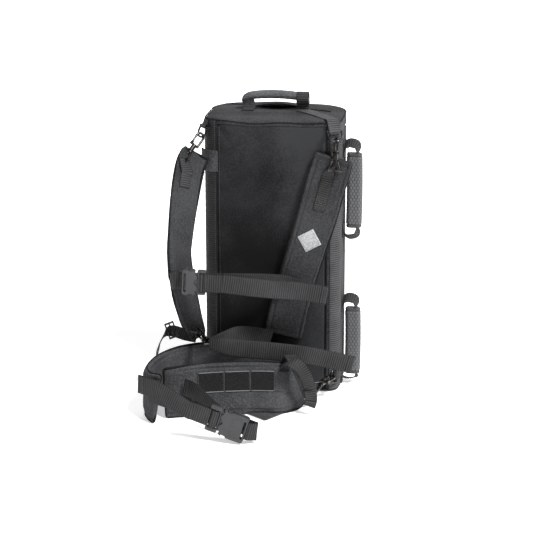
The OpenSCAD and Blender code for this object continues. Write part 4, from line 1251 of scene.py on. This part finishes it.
def edge_lines(strip, inset):
    """Lines along both edges of a strip and across its ends."""
    p, a, _, width = strip.frames(np.arange(2.0, strip.length - 2, 3.0))
    lines = [p + a * (s * (width / 2 - inset))[:, None] for s in (-1, 1)]
    lines.append(np.stack([lines[0][0], lines[1][0]]))
    lines.append(np.stack([lines[0][-1], lines[1][-1]]))
    return lines


class AIRPACK_OT_pads(bpy.types.Operator):
    """Stuffed shoulder pads with bound edges, hems, sewn patches and the plain badge"""

    bl_idname = "airpack.pads"
    bl_label = "Shoulder pads"

    def execute(self, context):
        right, left = Strip(PAD_RIGHT, 12), Strip(PAD_LEFT, 12)
        for name, strip in (("right", right), ("left", left)):
            pad = cushion("pad_" + name, strip, "pack", "pad_fabric", "shoulder_pad_" + name, 9.5)
            cording(f"pad_{name}_binding", edge_lines(strip, 2.0), 2.6, "pack", "pad_fabric")
            skin = Skin(pad, strip)
            long = strip.length
            lines = []
            for s in (-1, 1):
                along = np.arange(8, long - 8, 3.0)
                _, _, _, width = strip.frames(along)
                lines.append(skin.at(along, s * (width / 2 - 9.5), 0.25))
            half = strip.frames(np.array([10.0]))[3][0] / 2 - 6
            lines.append(skin.line([(10, -half), (10, half)]))
            lines.append(skin.line([(14, -half), (14, half)]))
            if name == "right":
                self.right_details(skin, strip, lines)
            else:
                self.left_details(skin, strip, lines)
            stitching(f"pad_{name}_stitches", lines, "pack", "pad_fabric", radius=0.38)
        return {"FINISHED"}

    def right_details(self, skin, strip, lines):
        seam, off, _, _, _ = locate(strip, [[64, -104, 265]])
        lines.append(skin.line([(seam[0], -31), (seam[0], 31)]))
        along, across, _, _, _ = locate(strip, [[80.5, -111.4, 332]])
        grid = np.linspace(-18, 18, 26)
        u, v = np.meshgrid(grid, grid, indexing="ij")
        border = 18 - np.maximum(np.abs(u), np.abs(v))
        at, off = along[0] + (u + v) * 0.707, across[0] + (u - v) * 0.707
        raised = 0.3 + 1.3 * rounded(border + 0.1, 1.4) - 0.35 * bell(border, 3, 0.8)
        slab("badge_patch", skin.at(at, off, raised), skin.at(at, off, -0.4), "pack", "badge_cloth",
             replaces=["badge"])
        ring = [(-15, -15), (15, -15), (15, 15), (-15, 15), (-15, -15)]
        stitching("badge_stitches", [skin.line([(along[0] + (a + b) * 0.707, across[0] + (a - b) * 0.707)
                                                for a, b in ring], 1.6)], "pack", "badge_cloth", radius=0.35)

    def left_details(self, skin, strip, lines):
        for k, (z, y, x, wide, tall) in enumerate(((264, -166, -172, 44, 36), (140, -128, -153, 26, 30))):
            along = locate(strip, [[x, y, z]])[0][0]
            a0, a1 = along - tall / 2, along + tall / 2
            patch(f"pad_left_patch_{k}", skin, "pack", a0, a1, -wide / 2 + 2, wide / 2 + 2)
            lines += box_x(skin, a0 + 3, a1 - 3, -wide / 2 + 5, wide / 2 - 1, 2.1)


class AIRPACK_OT_hip_belt(bpy.types.Operator):
    """Stuffed hip belt with bound edges, three loop-tape cells, a sewn patch and its lower flap"""

    bl_idname = "airpack.hip_belt"
    bl_label = "Hip belt"

    def execute(self, context):
        strip = Strip(BELT, 13)
        belt = cushion("hip_belt_pad", strip, "pack", "belt_fabric", "hip_belt", 13.5, edge=0.45,
                       step=4.0)
        cording("hip_belt_binding", edge_lines(strip, 2.2), 2.8, "pack", "belt_fabric")
        skin = Skin(belt, strip)
        start = float(locate(strip, [[-127, -258, 68]])[0][0])
        self.loops(skin, start)
        long = strip.length
        lines = []
        for s in (-1, 1):
            along = np.arange(8, long - 14, 3.2)
            _, _, _, width = strip.frames(along)
            lines.append(skin.at(along, s * (width / 2 - 9), 0.25))
        stitching("hip_belt_stitches", lines, "pack", "belt_fabric", radius=0.38)
        self.flap()
        return {"FINISHED"}

    def loops(self, skin, start):
        """Cells of loop tape between two sewn edges, then a cross-sewn patch."""
        low, high = -4.0, 34.0
        base = patch("gear_strip", skin, "pack", start, start + 182, low - 3.0, high + 3.0, thick=1.3,
                     slot="belt_fabric", plain=True)
        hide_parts("gear_loop_strip")
        light, dark = [], []
        for k, (a0, a1) in enumerate(((3, 53), (55.5, 106), (108.5, 155))):
            self.cell(k, skin, start + a0, start + a1, low, high)
            for across in (low - 0.6, high + 0.6):
                light.append(skin.line([(start + a0, across), (start + a1, across)], 2.2))
            dark.append(skin.line([(start + a1 + 1.2, low), (start + a1 + 1.2, high)], 2.2))
        cording("gear_strip_edges", light, 0.75, "pack", "belt_fabric", look="webbing_pale", step=2.5)
        lines = box_x(skin, start + 159, start + 179, low + 2, high - 2, 2.0)
        stitching("gear_strip_stitches", lines + dark, "pack", "belt_fabric", radius=0.4)

    def cell(self, k, skin, a0, a1, c0, c1):
        rows, cols = int((a1 - a0) / 0.9), int((c1 - c0) / 0.9)
        along, across = np.meshgrid(np.linspace(a0, a1, rows), np.linspace(c0, c1, cols), indexing="ij")
        border = np.minimum(np.minimum(along - a0, a1 - along), np.minimum(across - c0, c1 - across))
        rng = np.random.default_rng(40 + k)
        pile = rng.uniform(-0.45, 0.45, along.shape)
        top = 1.4 + 1.5 * rounded(border + 0.1, 1.6) + pile * np.clip(border, 0, 1)
        slab(f"loop_cell_{k}", skin.at(along, across, top), skin.at(along, across, np.full_like(top, 0.6)),
             "pack", "loop_tape")

    def flap(self):
        """Triangular flap that lies on the ground under the right wing."""
        a, b, c = np.array([-50, -222, 2.2]), np.array([13, -271, 1.9]), np.array([58, -206, 2.2])
        u, v = np.meshgrid(np.linspace(0, 1, 22), np.linspace(0, 1, 12), indexing="ij")
        edge = a + (c - a) * u[..., None]
        share = 0.44
        tip = np.where(u[..., None] < share, a + (b - a) * (u / share)[..., None],
                       b + (c - b) * ((u - share) / (1 - share))[..., None])
        mid = edge + (tip - edge) * v[..., None]
        border = np.minimum(1 - v, np.minimum(u, 1 - u) * 2) * 14
        tall = 1.5 * (0.25 + 0.75 * rounded(border + 0.3, 3))
        mid[..., 2] += 1.6 * np.sin(u * 5.2) * (1 - v) + 0.8
        up = np.array([0, 0, 1.0])
        slab("belt_flap", mid + up * tall[..., None], mid - up * np.minimum(tall, 1.5)[..., None], "pack",
             "belt_fabric")


# From the middle of a ring's wire to the bar that the webbing goes round, along a snap hook
HOOK_REACH = 57.8


def straight_web(p, way, steps, up):
    return [[*(p + way * d), *up, WIDE] for d in (0, *steps)]


def hook_bar(point, back):
    """Middle of the loop that a snap hook's webbing goes round."""
    return np.array(point) + unit(back) * HOOK_REACH


def ring_wire_at(s):
    deg = math.radians(TOP_RING_DEG[s])
    out = np.array([s * math.cos(deg), -math.sin(deg), 0])
    lean = math.radians(28)
    return (np.array([s * NEAR_X, NEAR_Y, TOP_RING_Z]) + RING_OUT * out
            + 23 * (math.sin(lean) * out - np.array([0, 0, math.cos(lean)])))


class AIRPACK_OT_straps(bpy.types.Operator):
    """Ribbed webbing of the harness: anchors, chest, belly, hip, stabiliser and lower straps"""

    bl_idname = "airpack.straps"
    bl_label = "Harness straps"

    def execute(self, context):
        self.anchors()
        self.chest()
        self.belly()
        self.hip()
        self.small()
        return {"FINISHED"}

    def anchors(self):
        """Webbing from a hook's loop down onto a pad, ending in a cross-sewn patch."""
        for name, point, back, path, z0, z1, off in (
                ("right", ring_wire_at(1), (-0.02, -0.30, -0.95), PAD_RIGHT, 470, 397, 0),
                ("left", ring_wire_at(-1), (-0.44, -0.60, -0.67), PAD_LEFT, 468, 440, -9)):
            pad = Strip(path, 12)
            bar = hook_bar(point, back)
            skin = Skin(bpy.data.objects["pad_" + name], pad)
            middle = pad.frames(np.linspace(0, pad.length, 400))[0]
            at = [np.interp(-z, -middle[:, 2], np.linspace(0, pad.length, 400)) for z in (z0, z1)]
            along = np.linspace(at[0], at[1], 5)
            on = skin.at(along, np.full(5, float(off)), np.array([3.4, 2.0, 1.5, 1.4, 1.4]))
            _, a, _, _ = pad.frames(along)
            stations = [[*(bar + np.array([0, 1.6, -3.5])), *a[0], NARROW],
                        [*(bar + np.array([0, -2.9, 0])), *a[0], NARROW]]
            stations += [[*on[k], *a[k], NARROW] for k in range(5)]
            strip = Strip(stations, 2.0)
            strap("anchor_web_" + name, strip, "pack", replaces=["anchor_webbing_" + name])
            end = strip.length
            stitching(f"anchor_stitches_{name}", box_x(strip, end - 24, end - 3, -10, 10, 0.3)
                      + [strip.line([(end - 27, -11), (end - 27, 11)], 0.3)], "pack", radius=0.4)

    def chest(self):
        p = CHEST_MID - CHEST_DIR * 22
        base = Strip([[-187, -207.5, 264, 0, 0, 1, WIDE], [-181, -198, 264, 0, 0, 1, WIDE],
                      [-173, -196.5, 264, 0, 0, 1, WIDE], [*p, 0, 0, 1, WIDE]], 3.0)
        strap("chest_anchor", base, "pack", replaces=["sternum_anchor"])
        near = CHEST_MID + CHEST_DIR * 20 - [0, LAYER, 0]
        far = CHEST_MID + CHEST_DIR * 10 + [0, LAYER, 0]
        up = (0, 0, 1)
        front = Strip(straight_web(near, CHEST_DIR, (32, 44), up) + [
            [-34, -190, 254, 0, 0.02, 1, WIDE],
            [10, -174, 246, 0, 0.04, 1, WIDE], [50, -158, 240, 0, 0.05, 1, WIDE],
            [85, -148, 234, 0, 0, 1, WIDE], [121, -142, 228, 0, 0, 1, WIDE]], 2.0)
        strap("chest_strap", front, "pack", replaces=["sternum_strap"], curl=0.7)
        self.hem("chest", front, "pack")
        back = Strip(straight_web(far, CHEST_DIR, (42, 52), up) + [
            [-34, -170, 257, 0, 0, 1, WIDE], [4, -138, 248, 0, 0, 1, WIDE], [30, -117, 240, 0.1, 0, 1, WIDE],
            [58, -112, 232, 0.2, 0, 1, WIDE]], 2.0)
        strap("chest_strap_back", back, "pack", curl=-0.5)

    def hem(self, name, strip, body):
        """The far end folded over and sewn down."""
        a1 = strip.length
        half = strip.frames(np.array([a1 - 5.0]))[3][0] / 2
        patch(name + "_hem", strip, body, a1 - 13.5, a1, -half, half, thick=1.5, lift=0.2)
        stitching(name + "_hem_stitches", [strip.line([(a1 - d, -half + 2), (a1 - d, half - 2)], 2.0)
                                           for d in (4, 11)], body, radius=0.4)

    def belly(self):
        b = hook_bar([-142, -146, 138], (0.55, -0.8, -0.1))
        front = Strip([
            [b[0] - 2, b[1] - 2, b[2], 0, 0, 1, NARROW],
            [-86, -198, 130, 0, 0, 1, 33], [-50, -196, 125, 0, 0, 1, WIDE],
            [8, -188, 120, 0, 0, 1, WIDE],
            [68, -174, 111, 0.1, 0, 1, WIDE], [120, -155, 97, 0.22, 0, 1, WIDE],
            [175, -140, 82, 0.28, 0, 1, WIDE]], 2.0)
        strap("belly_strap_front", front, "pack", replaces=["belly_strap"], curl=0.8)
        self.hem("belly", front, "pack")
        back = Strip([
            [b[0] + 2.6, b[1] + 2.6, b[2], 0, 0, 1, NARROW], [-84, -176, 137, 0, 0, 1, 34],
            [-62, -148, 137, 0, 0, 1, WIDE],
            [-30, -122, 128, 0, 0, 1, WIDE], [2, -106, 118, 0.2, 0, 1, WIDE]], 2.0)
        strap("belly_strap_back", back, "pack", curl=-0.4)

    def hip(self):
        near = HIP_MID - HIP_DIR * 36 - [0, LAYER, 0]
        far = HIP_MID - HIP_DIR * 18 + [0, LAYER, 0]
        front = Strip([[-226, -350, 97, 0.02, 0, 1, WIDE], [-180, -376, 93, 0.15, 0, 1, WIDE]]
                      + straight_web(near, -HIP_DIR, (30, 48), HIP_UP)[::-1], 2.0)
        strap("hip_web_left", front, "pack", replaces=["belt_webbing_left"], curl=0.6)
        half = WIDE / 2
        patch("hip_left_hem", front, "pack", 0, 13.5, -half, half, thick=1.5, lift=0.2)
        stitching("hip_left_hem_stitches", [
            front.line([(d, -half + 2), (d, half - 2)], 2.0) for d in (4, 11)], "pack", radius=0.4)
        back = Strip([[-212, -322, 66, 0, 0, 1, WIDE], [-180, -348, 70, 0.1, 0, 1, WIDE]]
                     + straight_web(far, -HIP_DIR, (50, 64), HIP_UP)[::-1], 2.0)
        strap("hip_web_left_back", back, "pack")
        p, q = HIP_MID + HIP_DIR * 36, HIP_MID + HIP_DIR * 46
        tail = Strip([
            [-150, -278, 66, 0, 0.3, 1, WIDE],
            [-124, -298, 64, 0.3, 0, 1, WIDE], [-92, -330, 50, 0.4, 0, 0.9, WIDE],
            [-50, -360, 34, 0.4, -0.1, 0.9, WIDE], [-4, -376, 27, 0.1, -0.1, 1, WIDE],
            [14, -388, 25, 0.1, -0.1, 1, WIDE],
            [*q, 0.25, -0.1, 0.95, WIDE], [*p, 0.30, -0.1, 0.95, WIDE]], 2.0)
        strap("hip_web_right", tail, "pack", replaces=["belt_webbing_right"])
        stitching("hip_web_stitches", [tail.line([(d, -15), (d, 15)], 0.4) for d in (5, 11)], "pack",
                  radius=0.4)

    def small(self):
        steady = Strip([
            [-150, -128, 122, 0.1, 0, 1, NARROW], [-174, -136, 129, 0.1, 0, 1, NARROW],
            [-198, -139.5, 137, 0.3, 0, 0.95, NARROW], [-212, -148, 132, 0.5, 0.1, 0.8, NARROW],
            [-222, -166, 112, 0.3, 0.2, 0.9, NARROW], [-223.5, -190, 84, 0, 0.3, 0.9, NARROW]], 2.0)
        strap("stabiliser_web", steady, "pack", replaces=["stabiliser_strap"])
        low = np.array([NEAR_X, NEAR_Y, LOW_RING_Z]) + RING_OUT * np.array([0.7071, -0.7071, 0])
        b = hook_bar(low + 23 * np.array([-0.42, -0.907, 0]), (-0.47, -0.87, -0.12))
        under = Strip([
            [b[0] + 2.5, b[1], b[2], 0, 0, 1, NARROW], [94, -170, 32, 0.1, 0, 1, NARROW],
            [91, -190, 35, 0.2, 0.3, 0.9, NARROW], [91, -214, 48, 0.6, 0.4, 0.6, NARROW],
            [86, -232, 74, 0.85, 0.3, 0.25, NARROW], [75, -238, 102, 0.9, 0.3, 0.1, NARROW],
            [62, -226, 119, 0.9, 0.3, 0, NARROW], [51, -200, 116, 0.9, 0.2, 0, NARROW],
            [46, -186, 92, 0.95, 0.2, 0, NARROW]], 2.0)
        strap("lower_web_right", under, "pack", replaces=["lower_strap_right"])
        over = Strip([
            [36, -208, 92, 0.5, 0.2, 0.8, NARROW], [48, -228, 108, 0.6, 0.2, 0.7, NARROW],
            [63, -241, 117, 0.85, 0.2, 0.4, NARROW], [80, -244, 108, 0.95, 0.1, -0.1, NARROW],
            [92, -240, 86, 0.95, 0.2, -0.25, NARROW], [97, -230, 62, 1, 0.2, -0.15, NARROW]], 2.0)
        strap("lower_web_right_over", over, "pack", curl=1.2)
        tail = Strip([
            [95, -222, 60, 1, 0.2, 0.1, NARROW], [99, -228, 48, 1, 0.2, 0.1, NARROW],
            [100, -230, 34, 1, 0.1, 0, NARROW], [96, -226, 20, 1, -0.1, 0, NARROW]], 2.0)
        strap("lower_web_right_tail", tail, "pack", curl=-1.0)
        self.hem("lower_tail", tail, "pack")


# ---------------------------------------------------------------- hardware


def moulding(name, outlines, half, bevel, frame_axes, body, replaces=(), slot="buckle_plastic"):
    """A plate cut to outlines in a part's own plane, with rounded edges. Later outlines are holes."""
    origin, ax, ay, az = (np.asarray(v, float) for v in frame_axes)
    curve = bpy.data.curves.new(name + "_outline", "CURVE")
    curve.dimensions, curve.fill_mode = "2D", "BOTH"
    curve.extrude, curve.bevel_depth, curve.bevel_resolution = (half - bevel) * MM, bevel * MM, 2
    curve.offset = -bevel * MM
    for outline in outlines:
        spline = curve.splines.new("POLY")
        spline.points.add(len(outline) - 1)
        for point, (x, y) in zip(spline.points, outline):
            point.co = (x * MM, y * MM, 0, 1)
        spline.use_cyclic_u = True
    holder = bpy.data.objects.new(name, curve)
    bpy.context.collection.objects.link(holder)
    graph = bpy.context.evaluated_depsgraph_get()
    mesh = bpy.data.meshes.new_from_object(holder.evaluated_get(graph))
    local = np.array([v.co for v in mesh.vertices])
    faces = [tuple(p.vertices) for p in mesh.polygons]
    bpy.data.objects.remove(holder)
    where = origin * MM + local[:, :1] * ax + local[:, 1:2] * ay + local[:, 2:] * az
    made = piece(name, where / MM, faces, body, slot, replaces=replaces)
    weld = made.modifiers.new("weld", "WELD")
    weld.merge_threshold = 0.01 * MM
    graph = bpy.context.evaluated_depsgraph_get()
    made.data = bpy.data.meshes.new_from_object(made.evaluated_get(graph))
    made.modifiers.clear()
    made.data.shade_smooth()
    made.data.set_sharp_from_angle(angle=math.radians(35))
    return made


def rounded_box(x0, x1, y0, y1, r, n=5):
    """Outline of a rectangle with rounded corners."""
    out = []
    corners = (x1 - r, y1 - r), (x0 + r, y1 - r), (x0 + r, y0 + r), (x1 - r, y0 + r)
    for (cx, cy), start in zip(corners, (0, 90, 180, 270)):
        for k in range(n + 1):
            a = math.radians(start + 90 * k / n)
            out.append((cx + r * math.cos(a), cy + r * math.sin(a)))
    return out


SLOT_HALF = 19.8  # half of the length of a buckle's webbing slot


class AIRPACK_OT_buckles(bpy.types.Operator):
    """Side-release buckles: two-shell sockets with side windows, and plugs with sprung prongs"""

    bl_idname = "airpack.buckles"
    bl_label = "Buckles"

    def execute(self, context):
        up = np.array([0, 0, 1.0])
        chest = self.axes(CHEST_MID + CHEST_DIR * 6, -CHEST_DIR, up)
        hip = self.axes(HIP_MID - HIP_DIR * 14, HIP_DIR, np.array(HIP_UP))
        self.socket("chest_socket", chest, 30, 54, "pack", "sternum_socket")
        self.plug("chest_plug", chest, 17, 54, "sternum_plug", "sternum_plug")
        self.wrap("chest_plug_web", chest, 17, -1, "sternum_plug")
        self.wrap("hip_plug_web", hip, 24, 1, "hip_plug")
        self.socket("hip_socket_body", hip, 54, 58, "pack", "hip_socket")
        self.plug("hip_plug_body", hip, 24, 58, "hip_plug", "hip_plug")
        return {"FINISHED"}

    def axes(self, origin, way, up):
        across = unit(up - (up @ way) * way)
        return origin, way, across, np.cross(way, across)

    def shifted(self, axes, lift):
        return axes[0] + axes[3] * lift, axes[1], axes[2], axes[3]

    def mouth(self, wide):
        """Wavy M-shaped front edge of the socket's shells."""
        z = np.linspace(-wide / 2 + 5, wide / 2 - 5, 25)
        return [(3.2 + 3.4 * math.cos(4 * math.pi * v / (wide - 10)) * (1 - (2 * abs(v) / wide) ** 3), v)
                for v in z]

    def socket(self, name, axes, long, wide, body, node):
        half = wide / 2
        side = [(7, half), (9, half - 1), (10, half - 3.5), (17.5, half - 3.5), (19, half - 1), (21, half)]
        tail = [(long - 3, half - 1), (long, half - 4), (long, -half + 4), (long - 3, -half + 1)]
        shell = self.mouth(wide) + side + tail + [(x, -z) for x, z in side[::-1]]
        slot = rounded_box(long - 7.4, long - 2.9, -SLOT_HALF, SLOT_HALF, 1.6)
        ridge = rounded_box(24, long - 10, -half + 10, half - 10, 3) if long > 40 else None
        for k, lift in enumerate((-4.75, 4.75)):
            moulding(f"{name}_shell_{k}", [shell, slot], 1.85, 0.9, self.shifted(axes, lift), body,
                     replaces=[node] if k == 0 else ())
            if ridge:
                moulding(f"{name}_ridge_{k}", [ridge], 0.9, 0.5, self.shifted(axes, lift * 1.33), body)
        back = [(21.5, half - 3), (long - 4, half - 2.5), (long - 1, half - 5), (long - 1, -half + 5),
                (long - 4, -half + 2.5), (21.5, -half + 3)]
        moulding(f"{name}_core", [back, slot], 3.4, 0.4, axes, body)
        for s in (-1, 1):
            rail = rounded_box(3.5, 8, s * (half - 3.6) - 2.4, s * (half - 3.6) + 2.4, 1.2)
            moulding(f"{name}_rail_{'low' if s < 0 else 'high'}", [rail], 3.4, 0.4, axes, body)

    def wrap(self, name, axes, deep, front, body):
        """Webbing taken round the middle bar of a plug's frame."""
        origin, way, across, out = axes
        outer, middle, inner = -deep * 0.76, -deep * 0.52, -deep * 0.29
        stations = [[*(origin + way * x + out * front * lift), *across, WIDE - 0.5] for x, lift in (
            (-deep - 5, -6.0), (outer, -5.4), (middle, -5.6), (inner + 0.4, -4.4), (inner + 1.4, 0),
            (inner, 4.4), (middle, 6.0), (outer, 4.4), (outer - 1.4, 0), (outer - 0.6, -3.0))]
        strap(name, Strip(stations, 2.0, out=front), body)

    def plug(self, name, axes, deep, wide, body, node):
        half = wide / 2 - 1
        x0 = -deep - 0.5
        outline = rounded_box(x0, -0.6, -half, half, 3.5)
        mid = (x0 - 0.6) / 2
        slots = [rounded_box(a, b, -SLOT_HALF, SLOT_HALF, 1.2)
                 for a, b in ((x0 + 2.6, mid - 1.2), (mid + 1.2, -3.6))]
        moulding(name + "_frame", [outline] + slots, 4.3, 1.1, axes, body, replaces=[node])
        for s in (-1, 1):
            base, tip = s * (half - 9), s * (half - 1)
            prong = [(-2, base - s * 2.5), (6, base - s * 2.2), (12, tip - s * 6.5), (17.5, tip - s * 6.0),
                     (18.6, tip - s * 4), (17, tip - s * 0.6), (13.5, tip + s * 0.6), (10.5, tip),
                     (9.5, tip - s * 2.5), (4, base + s * 2.4), (-2, base + s * 3.2)]
            moulding(f"{name}_prong_{'low' if s < 0 else 'high'}", [prong[::s]], 2.5, 0.7, axes, body)
        moulding(name + "_shelf", [rounded_box(-1.5, 6.5, -half + 7, half - 7, 1.5)], 1.7, 0.5, axes, body)
        moulding(name + "_tongue", [rounded_box(-2, 16.5, -3.6, 3.6, 2.2)], 2.2, 0.6, axes, body)


class AIRPACK_OT_inside(bpy.types.Operator):
    """What the door uncovers: cylinder bands and the foam cradle"""

    bl_idname = "airpack.inside"
    bl_label = "Inside"

    def execute(self, context):
        for k, z in enumerate((149, 349)):
            stations = []
            for a in range(0, 361, 12):
                t = math.radians(a + 90)
                stations.append([71.1 * math.cos(t), 71.1 * math.sin(t), z, 0, 0, 1, WIDE])
            band = Strip(stations, 2.0, out=-1)
            strap(f"tank_band_{k}", band, "pack", replaces=["tank_straps"] if k == 0 else ())
            patch(f"tank_band_lap_{k}", band, "pack", 2, 44, -18, 18, thick=1.6, lift=0.2)
            stitching(f"tank_band_stitches_{k}", box_x(band, 6, 40, -15, 15, 2.0), "pack", radius=0.4)
        self.cradle()
        return {"FINISHED"}

    def cradle(self):
        turn = np.linspace(0, 2 * math.pi, 120, endpoint=False)
        way = np.stack([np.cos(turn), np.sin(turn)], axis=1)
        x, y = np.abs(way[:, 0]), way[:, 1]
        reach = np.minimum(98 / np.maximum(x, 1e-6), 79 / np.maximum(np.abs(y), 1e-6))
        reach = np.minimum(reach, 112)
        outer, inner = [], []
        for t in (0, 0.06, 0.2, 0.4, 0.6, 0.8, 0.94, 1):
            r = 71.6 + (reach - 71.6) * t
            dip = 2.4 * (1 - float(rounded(np.array(min(t, 1 - t) * 24 + 0.1), 4)))
            outer.append(np.column_stack([way * r[:, None], np.full_like(turn, 45.5 - dip)
                                          + 0.6 * np.sin(turn * 9)]))
            inner.append(np.column_stack([way * r[:, None], np.full_like(turn, 7.0 + dip * 0.3)]))
        slab("foam_ring", np.array(outer), np.array(inner), "pack", "foam", wrap=True,
             replaces=["foam_cradle"])


class AIRPACK_OT_hardware_finishes(bpy.types.Operator):
    """Gives the frame's own rings, hooks, plates and valve parts their finishes"""

    bl_idname = "airpack.hardware_finishes"
    bl_label = "Hardware finishes"

    def execute(self, context):
        for part in frame["record"]["subparts"]:
            node = frame["nodes"].get(part["node"])
            if node is None:
                raise RuntimeError("the frame has no part " + part["node"])
            if not node.material_slots:
                node.data.materials.append(finish(part["material_slot"]))
            for holder in node.material_slots:
                holder.material = finish(part["material_slot"])
        return {"FINISHED"}


# ---------------------------------------------------------------- stage


class AIRPACK_OT_stage(bpy.types.Operator):
    """Pale floor, soft studio lights and the camera"""

    bl_idname = "airpack.stage"
    bl_label = "Stage"

    def execute(self, context):
        self.floor()
        self.lights()
        self.camera()
        return {"FINISHED"}

    def floor(self):
        mesh = bpy.data.meshes.new("floor")
        reach = 40.0
        mesh.from_pydata([(-reach, -reach, 0), (reach, -reach, 0), (reach, reach, 0), (-reach, reach, 0)], [],
                         [(0, 1, 2, 3)])
        floor = bpy.data.objects.new("floor", mesh)
        bpy.context.collection.objects.link(floor)
        f = Finish("floor", Specular_IOR_Level=0.1)
        f.set(Base_Color=f.mix(f.noise(6, 2), (0.93, 0.93, 0.93, 1), (0.96, 0.96, 0.96, 1)),
              Roughness=f.noise(20, 2) * 0.1 + 0.85,
              Emission_Color=(1, 1, 1, 1), Emission_Strength=0.45)
        mesh.materials.append(f.material)

    def lights(self):
        world = bpy.data.worlds.new("studio")
        world.use_nodes = True
        world.node_tree.nodes["Background"].inputs["Color"].default_value = (1, 1, 1, 1)
        world.node_tree.nodes["Background"].inputs["Strength"].default_value = 0.27
        bpy.context.scene.world = world
        for name, turn, tilt, spread, strength in (
                ("key", 54, 52, 14, 5.0), ("fill", -30, 50, 50, 0.30), ("rim", 175, 40, 30, 1.2)):
            lamp = bpy.data.lights.new(name, "SUN")
            lamp.angle, lamp.energy = math.radians(spread), strength
            made = bpy.data.objects.new(name, lamp)
            t, e = math.radians(turn), math.radians(tilt)
            place = np.array([math.sin(t) * math.cos(e), -math.cos(t) * math.cos(e), math.sin(e)])
            made.location = place * 4
            made.rotation_euler = self.aim(-place)
            bpy.context.collection.objects.link(made)

    def aim(self, way):
        return Vector(way).to_track_quat("-Z", "Y").to_euler()

    def camera(self):
        turn, tilt, far = math.radians(8), math.radians(16), 4.0
        way = np.array([math.sin(turn) * math.cos(tilt), -math.cos(turn) * math.cos(tilt), math.sin(tilt)])
        lens = bpy.data.cameras.new("camera")
        lens.sensor_width, lens.lens = 36, 129.3
        lens.shift_x, lens.shift_y = -11 / 533, -22 / 533
        lens.clip_end = 50
        made = bpy.data.objects.new("camera", lens)
        made.location = np.array([0, 0, 0.290]) + way * far
        made.rotation_euler = self.aim(-way)
        bpy.context.collection.objects.link(made)
        bpy.context.scene.camera = made
        bpy.context.scene.view_settings.view_transform = "Standard"


# ---------------------------------------------------------------- add-on


STEPS = (
    AIRPACK_OT_stage, AIRPACK_OT_hardware_finishes, AIRPACK_OT_walls, AIRPACK_OT_top, AIRPACK_OT_cover,
    AIRPACK_OT_corner_webbing, AIRPACK_OT_handle, AIRPACK_OT_side_grips, AIRPACK_OT_pads, AIRPACK_OT_hip_belt,
    AIRPACK_OT_straps, AIRPACK_OT_buckles, AIRPACK_OT_inside)


class AIRPACK_PT_panel(bpy.types.Panel):
    """Lists the pack's settings and the steps that make it"""

    bl_idname = "AIRPACK_PT_panel"
    bl_label = "Air Pack"
    bl_space_type = "VIEW_3D"
    bl_region_type = "UI"
    bl_category = "Air Pack"

    def draw(self, context):
        column = self.layout.column()
        for group in (context.scene.air_pack_sizes, context.scene.air_pack_colours):
            for name in group.__annotations__:
                column.prop(group, name)
        for step in STEPS:
            column.operator(step.bl_idname)


CLASSES = (AirPackSizes, AirPackColours, *STEPS, AIRPACK_PT_panel)


def register():
    for item in CLASSES:
        bpy.utils.register_class(item)
    bpy.types.Scene.air_pack_sizes = PointerProperty(type=AirPackSizes)
    bpy.types.Scene.air_pack_colours = PointerProperty(type=AirPackColours)


def unregister():
    del bpy.types.Scene.air_pack_sizes
    del bpy.types.Scene.air_pack_colours
    for item in reversed(CLASSES):
        bpy.utils.unregister_class(item)


def main():
    register()
    for step in STEPS:
        family, name = step.bl_idname.split(".")
        getattr(getattr(bpy.ops, family), name)()


if __name__ == "__main__":
    main()
